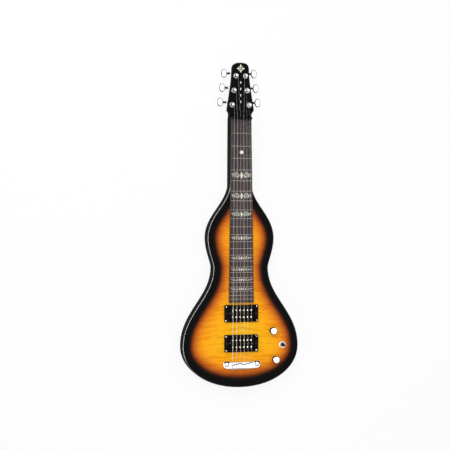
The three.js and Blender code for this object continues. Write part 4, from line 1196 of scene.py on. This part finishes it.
def pickup_ring(label, y):
    outer = centred(RING_HALF_LENGTH, y, RING_HALF_WIDTH, RING_CORNER)
    window = centred(WINDOW_HALF_LENGTH, y, WINDOW_HALF_WIDTH, WINDOW_CORNER)
    form = slab(outer, FACE, RING_TOP, 0, RING_ROUND, [window], WINDOW_ROUND)
    piece(f"{label}_ring", form, PLASTIC, stands_for=[f"{label}_pickup_ring"])
    corners = box(RING_HALF_LENGTH - CORNER_SCREW_IN, RING_HALF_WIDTH - CORNER_SCREW_IN, y)
    head = cross_screw(1.5, 0.7)
    heads = [shifted(head, *place, RING_TOP) for place in corners]
    piece(f"{label}_ring_screws", joined(heads), CHROME)
    radius, bottom, top = HEIGHT_SCREW_RADIUS, HEIGHT_SCREW_BOTTOM, RING_TOP - 0.5
    shank = lathe([(0, bottom), (radius, bottom), (radius, top), (0, top)], 16)
    screw = joined([shifted(cross_screw(1.7, 1.0), z=RING_TOP), shank])
    screws = [shifted(screw, side * HEIGHT_SCREW_AT, y) for side in (-1, 1)]
    piece(f"{label}_height_screws", joined(screws), STEEL_DULL)


def pole_places():
    return [string_x(index, POLE_SPREAD) for index in range(len(DIAMETERS))]


def coil(name, y, body, node):
    """A bobbin: two flanges, the taped winding between them, and a hole for each pole"""
    corner = COIL_HALF_WIDTH * 0.9
    flange = centred(COIL_HALF_LENGTH, y, COIL_HALF_WIDTH, corner)
    waist = [COIL_HALF_LENGTH - COIL_WAIST, y, COIL_HALF_WIDTH - COIL_WAIST, corner - COIL_WAIST]
    holes = [circle(x, y, POLE_RADIUS + FIT) for x in pole_places()]
    low, high = COIL_BOTTOM + COIL_FLANGE, COIL_TOP - COIL_FLANGE
    top = slab(flange, high, COIL_TOP, 0.2, 0.6, holes, 0.2)
    middle = slab(centred(*waist), low - 0.1, high + 0.1)
    foot = slab(flange, COIL_BOTTOM, low, 0.3, 0.3)
    piece(name, joined([top, middle, foot]), PLASTIC, body, [node])


def pickup(label, y):
    body = f"{label}_pickup"
    pickup_ring(label, y)
    screw_y, slug_y = y + COIL_ROW, y - COIL_ROW
    coil(f"{label}_screw_bobbin", screw_y, body, f"{body}_screw_coil")
    coil(f"{label}_slug_bobbin", slug_y, body, f"{body}_slug_coil")
    screw = slotted_pole()
    profile = [(0, SLUG_BOTTOM), (POLE_RADIUS, SLUG_BOTTOM), (POLE_RADIUS, POLE_TOP), (0, POLE_TOP)]
    slug = lathe(softened(profile, 0.4), SMALL_SIDES)
    forms = [shifted(screw, x, screw_y) for x in pole_places()]
    forms += [shifted(slug, x, slug_y) for x in pole_places()]
    magnet = centred(MAGNET_HALF, y, COIL_ROW + POLE_RADIUS, 0.5)
    forms.append(slab(magnet, MAGNET_BOTTOM, MAGNET_TOP))
    piece(f"{label}_poles", joined(forms), NICKEL, body, [f"{body}_magnet_and_poles"])


# Controls and output jack


def knob(label, place):
    """A knurled grip, its chrome painted dark as shade and dark reflection, with a polished, slightly
    domed cap
    """
    profile = [(0, 56.7), (3.3, 56.7), (3.3, 49.3), (7.8, 49.3), (7.8, 45.1), (9.2, 45.1), (9.5, 45.6)]
    profile += [(9.5, 46.6), (9.25, 46.8), (9.25, 47), (9.5, 47.2), (9.5, 57), (9, 57.8), (0, 57.8)]
    form = shifted(lathe(profile, KNOB_SIDES, knurl=(47.1, 57.1, 0.28)), *place)
    piece(f"{label}_knob_grip", form, GRIP_SHADE, f"{label}_control", [f"{label}_knob"])
    cap = softened([(8.7, 57.4), (8.7, 58.2), (7.6, 59.3), (0, 59.7)], 0.5, 4)
    form = shifted(lathe([(0, 57.4)] + cap, KNOB_SIDES), *place)
    piece(f"{label}_knob_cap", form, CHROME, f"{label}_control")


def toggle():
    ring = [(6.2, FACE), (9.4, FACE), (9.4, 46.4), (8.3, 47.5), (6.6, 47.5), (6.2, 47.1), (6.2, FACE)]
    form = lathe(ring, 72, knurl=(FACE, 46.5, 0.35))
    piece("switch_ring", shifted(form, *SWITCH), NICKEL, stands_for=["toggle_nut"])
    tip = [(0, 49.7), (3.7, 49.7), (4.3, 50.6), (4.05, 53), (3.4, 62.4), (2.4, 63.8), (0, 64.1)]
    form = lathe(softened(tip, 0.6))
    piece("switch_tip", shifted(form, *SWITCH), PLASTIC, "switch_lever", ["toggle_lever"])
    ball = [(2.8 * math.sin(angle), 39.1 - 2.8 * math.cos(angle)) for angle in np.linspace(0, 2.6, 12)]
    stem = ball + [(1.6, 50.2), (0, 50.2)]
    piece("switch_stem", shifted(lathe(stem, SMALL_SIDES), *SWITCH), CHROME, "switch_lever")


def output_jack():
    cup = [(5.05, 145), (10.5, 145), (10.5, 155.8), (12.5, 155.8), (12.5, 156.5), (12, 157), (10, 157)]
    cup += [(9.3, 156.3), (9.3, 146.2), (5.05, 146.2), (5.05, 145)]
    place = (0, JACK_AT, JACK_HEIGHT)
    piece("jack_dish", shifted(along_x(lathe(cup)), *place), CHROME, stands_for=["jack_cup"])
    barrel = [(0, 131.7), (8.4, 131.7), (8.4, 144.7), (4.75, 144.7), (4.75, 149.2), (4.4, 149.4)]
    barrel += [(3.5, 149.4), (3.3, 149.2), (3.3, 133.2), (0, 133.2)]
    collar = slab(circle(0, 0, 7, 6), 146.5, 148.7, 0.3, 0.6, [circle(0, 0, 4.8)])
    form = shifted(along_x(joined([lathe(barrel), collar])), *place)
    piece("jack_barrel", form, NICKEL, stands_for=["output_jack"])


def back_cover():
    plate = slab(cavity_outline(COVER_LEDGE - FIT), 0.35, COVER_TOP, round_bottom=0.5)
    piece("back_cover", plate, PLASTIC, stands_for=["control_cavity_cover"])
    left, right, back, front, _ = CAVITY
    middle = (back + front) / 2
    places = [(left - 1, middle), (right + 1, middle)]
    places += [(x, y) for x in (left + 3, right - 3) for y in (back + 1, front - 1)]
    head = underside(cross_screw(2.3, 0.35))
    piece("cover_screws", joined([shifted(head, x, y, 0.36) for x, y in places]), NICKEL)


# Tuning machines


def tuner_post(number, x, y):
    radius = POST_RADIUS
    profile = [(0, 18.4), (radius, 18.4), (radius, 46), (2.4, 48.4), (2.4, 49.6), (radius, 52)]
    profile += [(radius, 54.4), (2.7, 55), (1.3, 55), (1.1, 54.2), (0, 54.2)]
    wheel = slab(circle(0, 0, 5.8, 28), 18.4, 22.4)
    form = shifted(joined([lathe(profile, 32), wheel]), x, y)
    piece(f"post_{number}_stem", form, CHROME, f"post_{number}", [f"tuner_post_{number}"])


def tuner_bushing(number, x, y):
    profile = [(3.3, 33), (4.7, 33), (4.7, 42), (7, 42), (7, 43.1), (6.6, 43.3), (3.3, 43.3)]
    profile = softened(profile, 0.2)
    hex_nut = slab(circle(0, 0, 5.6, 6), 43.2, 44.8, 0, 0.5, [circle(0, 0, 3.4)], 0.2)
    form = joined([lathe(profile + profile[:1]), hex_nut])
    form = shifted(form, x, y)
    piece(f"bushing_{number}", form, CHROME_DULL, stands_for=[f"tuner_bushing_{number}"])


def tuner_housing(number, x, y, side):
    outline = rectangle(x - HOUSING_HALF, x + HOUSING_HALF, y - 8.2, y + 13.2, 3.5)
    block = slab(outline, HOUSING_BOTTOM, HEAD_BACK - FIT, 2.4, 0.3)
    collar = [(2.6, 7.8), (3.9, 7.8), (3.9, 11), (3.4, 11.8), (2.6, 11.8), (2.6, 7.8)]
    collar = shifted(along_x(lathe(collar, 32), side), x, y + WORM_AHEAD, WORM_HEIGHT)
    screw = shifted(underside(cross_screw(2.2, 0.8)), x, y, HOUSING_BOTTOM + 0.8)
    sink = shifted(lathe([(0, 0), (2.6, 0), (2.6, 3), (0, 3)]), x, y, HOUSING_BOTTOM - 2.2)
    form = joined([carved(block, [sink]), collar, screw])
    piece(f"housing_{number}", form, CHROME, stands_for=[f"tuner_housing_{number}"])


def button_outline(side):
    wide, long = 7.3, 11.2
    half = [(-wide, -long * 0.34), (-wide * 0.42, -long), (wide * 0.56, -long), (wide, -long * 0.5)]
    corners = half + [(x, -y) for x, y in reversed(half)]
    return [(side * x, y) for x, y in softened(corners + corners[:2], 2.2)[1:-1]]


def tuner_button(number, x, y, side):
    outline = counter_clockwise(button_outline(side))
    place = (x + side * BUTTON_OUT, y + WORM_AHEAD, WORM_HEIGHT)
    # The key's rim and shaft are chrome painted dark, as painted shade and dark reflection round the
    # bright chrome plate
    rim = slab(outline, -3.1, 3.1, 2.2, 2.2)
    shaft = [(0, 0), (2.5, 0), (2.5, 6), (1.9, 6.4), (1.9, 12.2), (2.9, 12.6), (2.9, 21.5), (0, 21.5)]
    form = joined([shifted(rim, *place), shifted(along_x(lathe(shaft, 32), side), x, *place[1:])])
    body = f"button_{number}"
    piece(f"{body}_key", form, CHROME_SHADE, body, [f"tuner_{body}"])
    plate = slab(inset(outline, 1.8), -3.2, 3.2, 0.4, 0.4)
    piece(f"{body}_plate", shifted(plate, *place), CHROME, body)


def tuners():
    for number, (x, y) in POSTS.items():
        tuner_post(number, x, y)
        tuner_bushing(number, x, y)
        tuner_housing(number, x, y, side_of(x))
        tuner_button(number, x, y, side_of(x))


def hidden_parts():
    """CAD nodes that stay as they are, and get their finished materials"""
    finishes = {
        "volume_shaft": BRASS,
        "tone_shaft": BRASS,
        "volume_potentiometer": ZINC,
        "tone_potentiometer": ZINC,
        "toggle_switch": ZINC,
        "neck_pickup_baseplate": STEEL_DULL,
        "bridge_pickup_baseplate": STEEL_DULL,
    }
    for node, finish in finishes.items():
        materials = frame["nodes"][node].data.materials
        for index in range(len(materials)):
            materials[index] = finish.material


# Studio


def floor():
    """A plain pale floor. The camera and polished metal see it white, with the guitar's shadow on it"""
    mesh = bpy.data.meshes.new("floor")
    corners = [(x, y, 0) for x, y in box(FLOOR_HALF, FLOOR_HALF)]
    mesh.from_pydata(corners, [], [(0, 1, 2, 3)])
    made = placed("floor", mesh)
    made.location.z = -FLOOR_GAP
    finish = Finish("floor_paper", "black_plastic", Specular_IOR_Level=0.1)
    fibres = finish.noise(finish.place, scale=180.0, detail=4.0)
    finish.paint(finish.tones(fibres, "F2F2F2", "F6F6F6"), finish.spread(fibres, 0.85, 0.95))
    glow = finish.add("ShaderNodeEmission", {"Color": (1, 1, 1, 1), "Strength": 1.0}).outputs[0]
    inputs = {0: finish.times(finish.seen(), FLOOR_GLOW), 1: finish.shader.outputs[0], 2: glow}
    both = finish.add("ShaderNodeMixShader", inputs).outputs[0]
    finish.feed(finish.tree.nodes["Material Output"].inputs["Surface"], both)
    mesh.materials.append(finish.material)


def world():
    """Light for the object; the camera and polished metal see a white studio with a darker ceiling"""
    made = bpy.data.worlds.new("studio")
    bpy.context.scene.world = made
    made.use_nodes = True
    nodes = Nodes(made.node_tree)
    height = nodes.parts(nodes.add("ShaderNodeTexCoord").outputs["Generated"])["Z"]
    levels = {0: nodes.seen(), 2: LIGHT_LEVEL, 3: nodes.spread(height, *CEILING)}
    background = nodes.tree.nodes["Background"].inputs
    nodes.feed(background["Color"], (1, 1, 1, 1))
    nodes.feed(background["Strength"], nodes.add("ShaderNodeMix", levels).outputs[0])


def lamp(name, place, target, size, power, lights_all=True):
    light = bpy.data.lights.new(name, "AREA")
    light.shape = "RECTANGLE"
    light.size, light.size_y = size
    light.energy = power
    made = placed(name, light)
    made.location = place
    made.rotation_euler = (Vector(target) - Vector(place)).to_track_quat("-Z", "Y").to_euler()
    made.visible_diffuse = lights_all


def lamps():
    """Each lamp's place, what it is aimed at, its size and its power"""
    middle = (0, 0, 0.04)
    lamp("key", (-0.7, 0.8, 1.7), middle, (1.1, 0.9), 15.0)
    lamp("overhead", (0.47, -0.25, 2.0), (0, -0.15, 0.04), (2.7, 0.8), 11.2)
    lamp("edge", (-1.1, 0, 0.62), middle, (2.4, 0.3), 42.0, lights_all=False)


def camera():
    """The photo's view, found by fitting it to measured points of the guitar"""
    turn, tilt, roll = (math.radians(angle) for angle in (CAMERA_TURN, CAMERA_TILT, CAMERA_ROLL))
    back = Vector((-math.sin(turn) * math.cos(tilt), math.sin(tilt), math.cos(turn) * math.cos(tilt)))
    right = Vector((math.cos(turn), 0, math.sin(turn)))
    right.rotate(Matrix.Rotation(roll, 3, back))
    up = back.cross(right)
    data = bpy.data.cameras.new("camera")
    data.lens = CAMERA_LENS
    data.sensor_width = CAMERA_FILM
    made = placed("camera", data)
    made.rotation_euler = Matrix((right, up, back)).transposed().to_euler()
    made.location = Vector(CAMERA_TARGET) + back * CAMERA_DISTANCE
    bpy.context.scene.camera = made


body_core()
maple_top()
face_rim()
neck()
fretboard()
position_lines()
board_inlays()
head_inlay()
nut()
bridge()
bridge_studs()
strings()
for label, y in PICKUPS.items():
    pickup(label, y)
knob("volume", VOLUME)
knob("tone", TONE)
toggle()
output_jack()
back_cover()
tuners()
hidden_parts()
floor()
world()
lamps()
camera()
bpy.context.scene.view_settings.view_transform = "Standard"
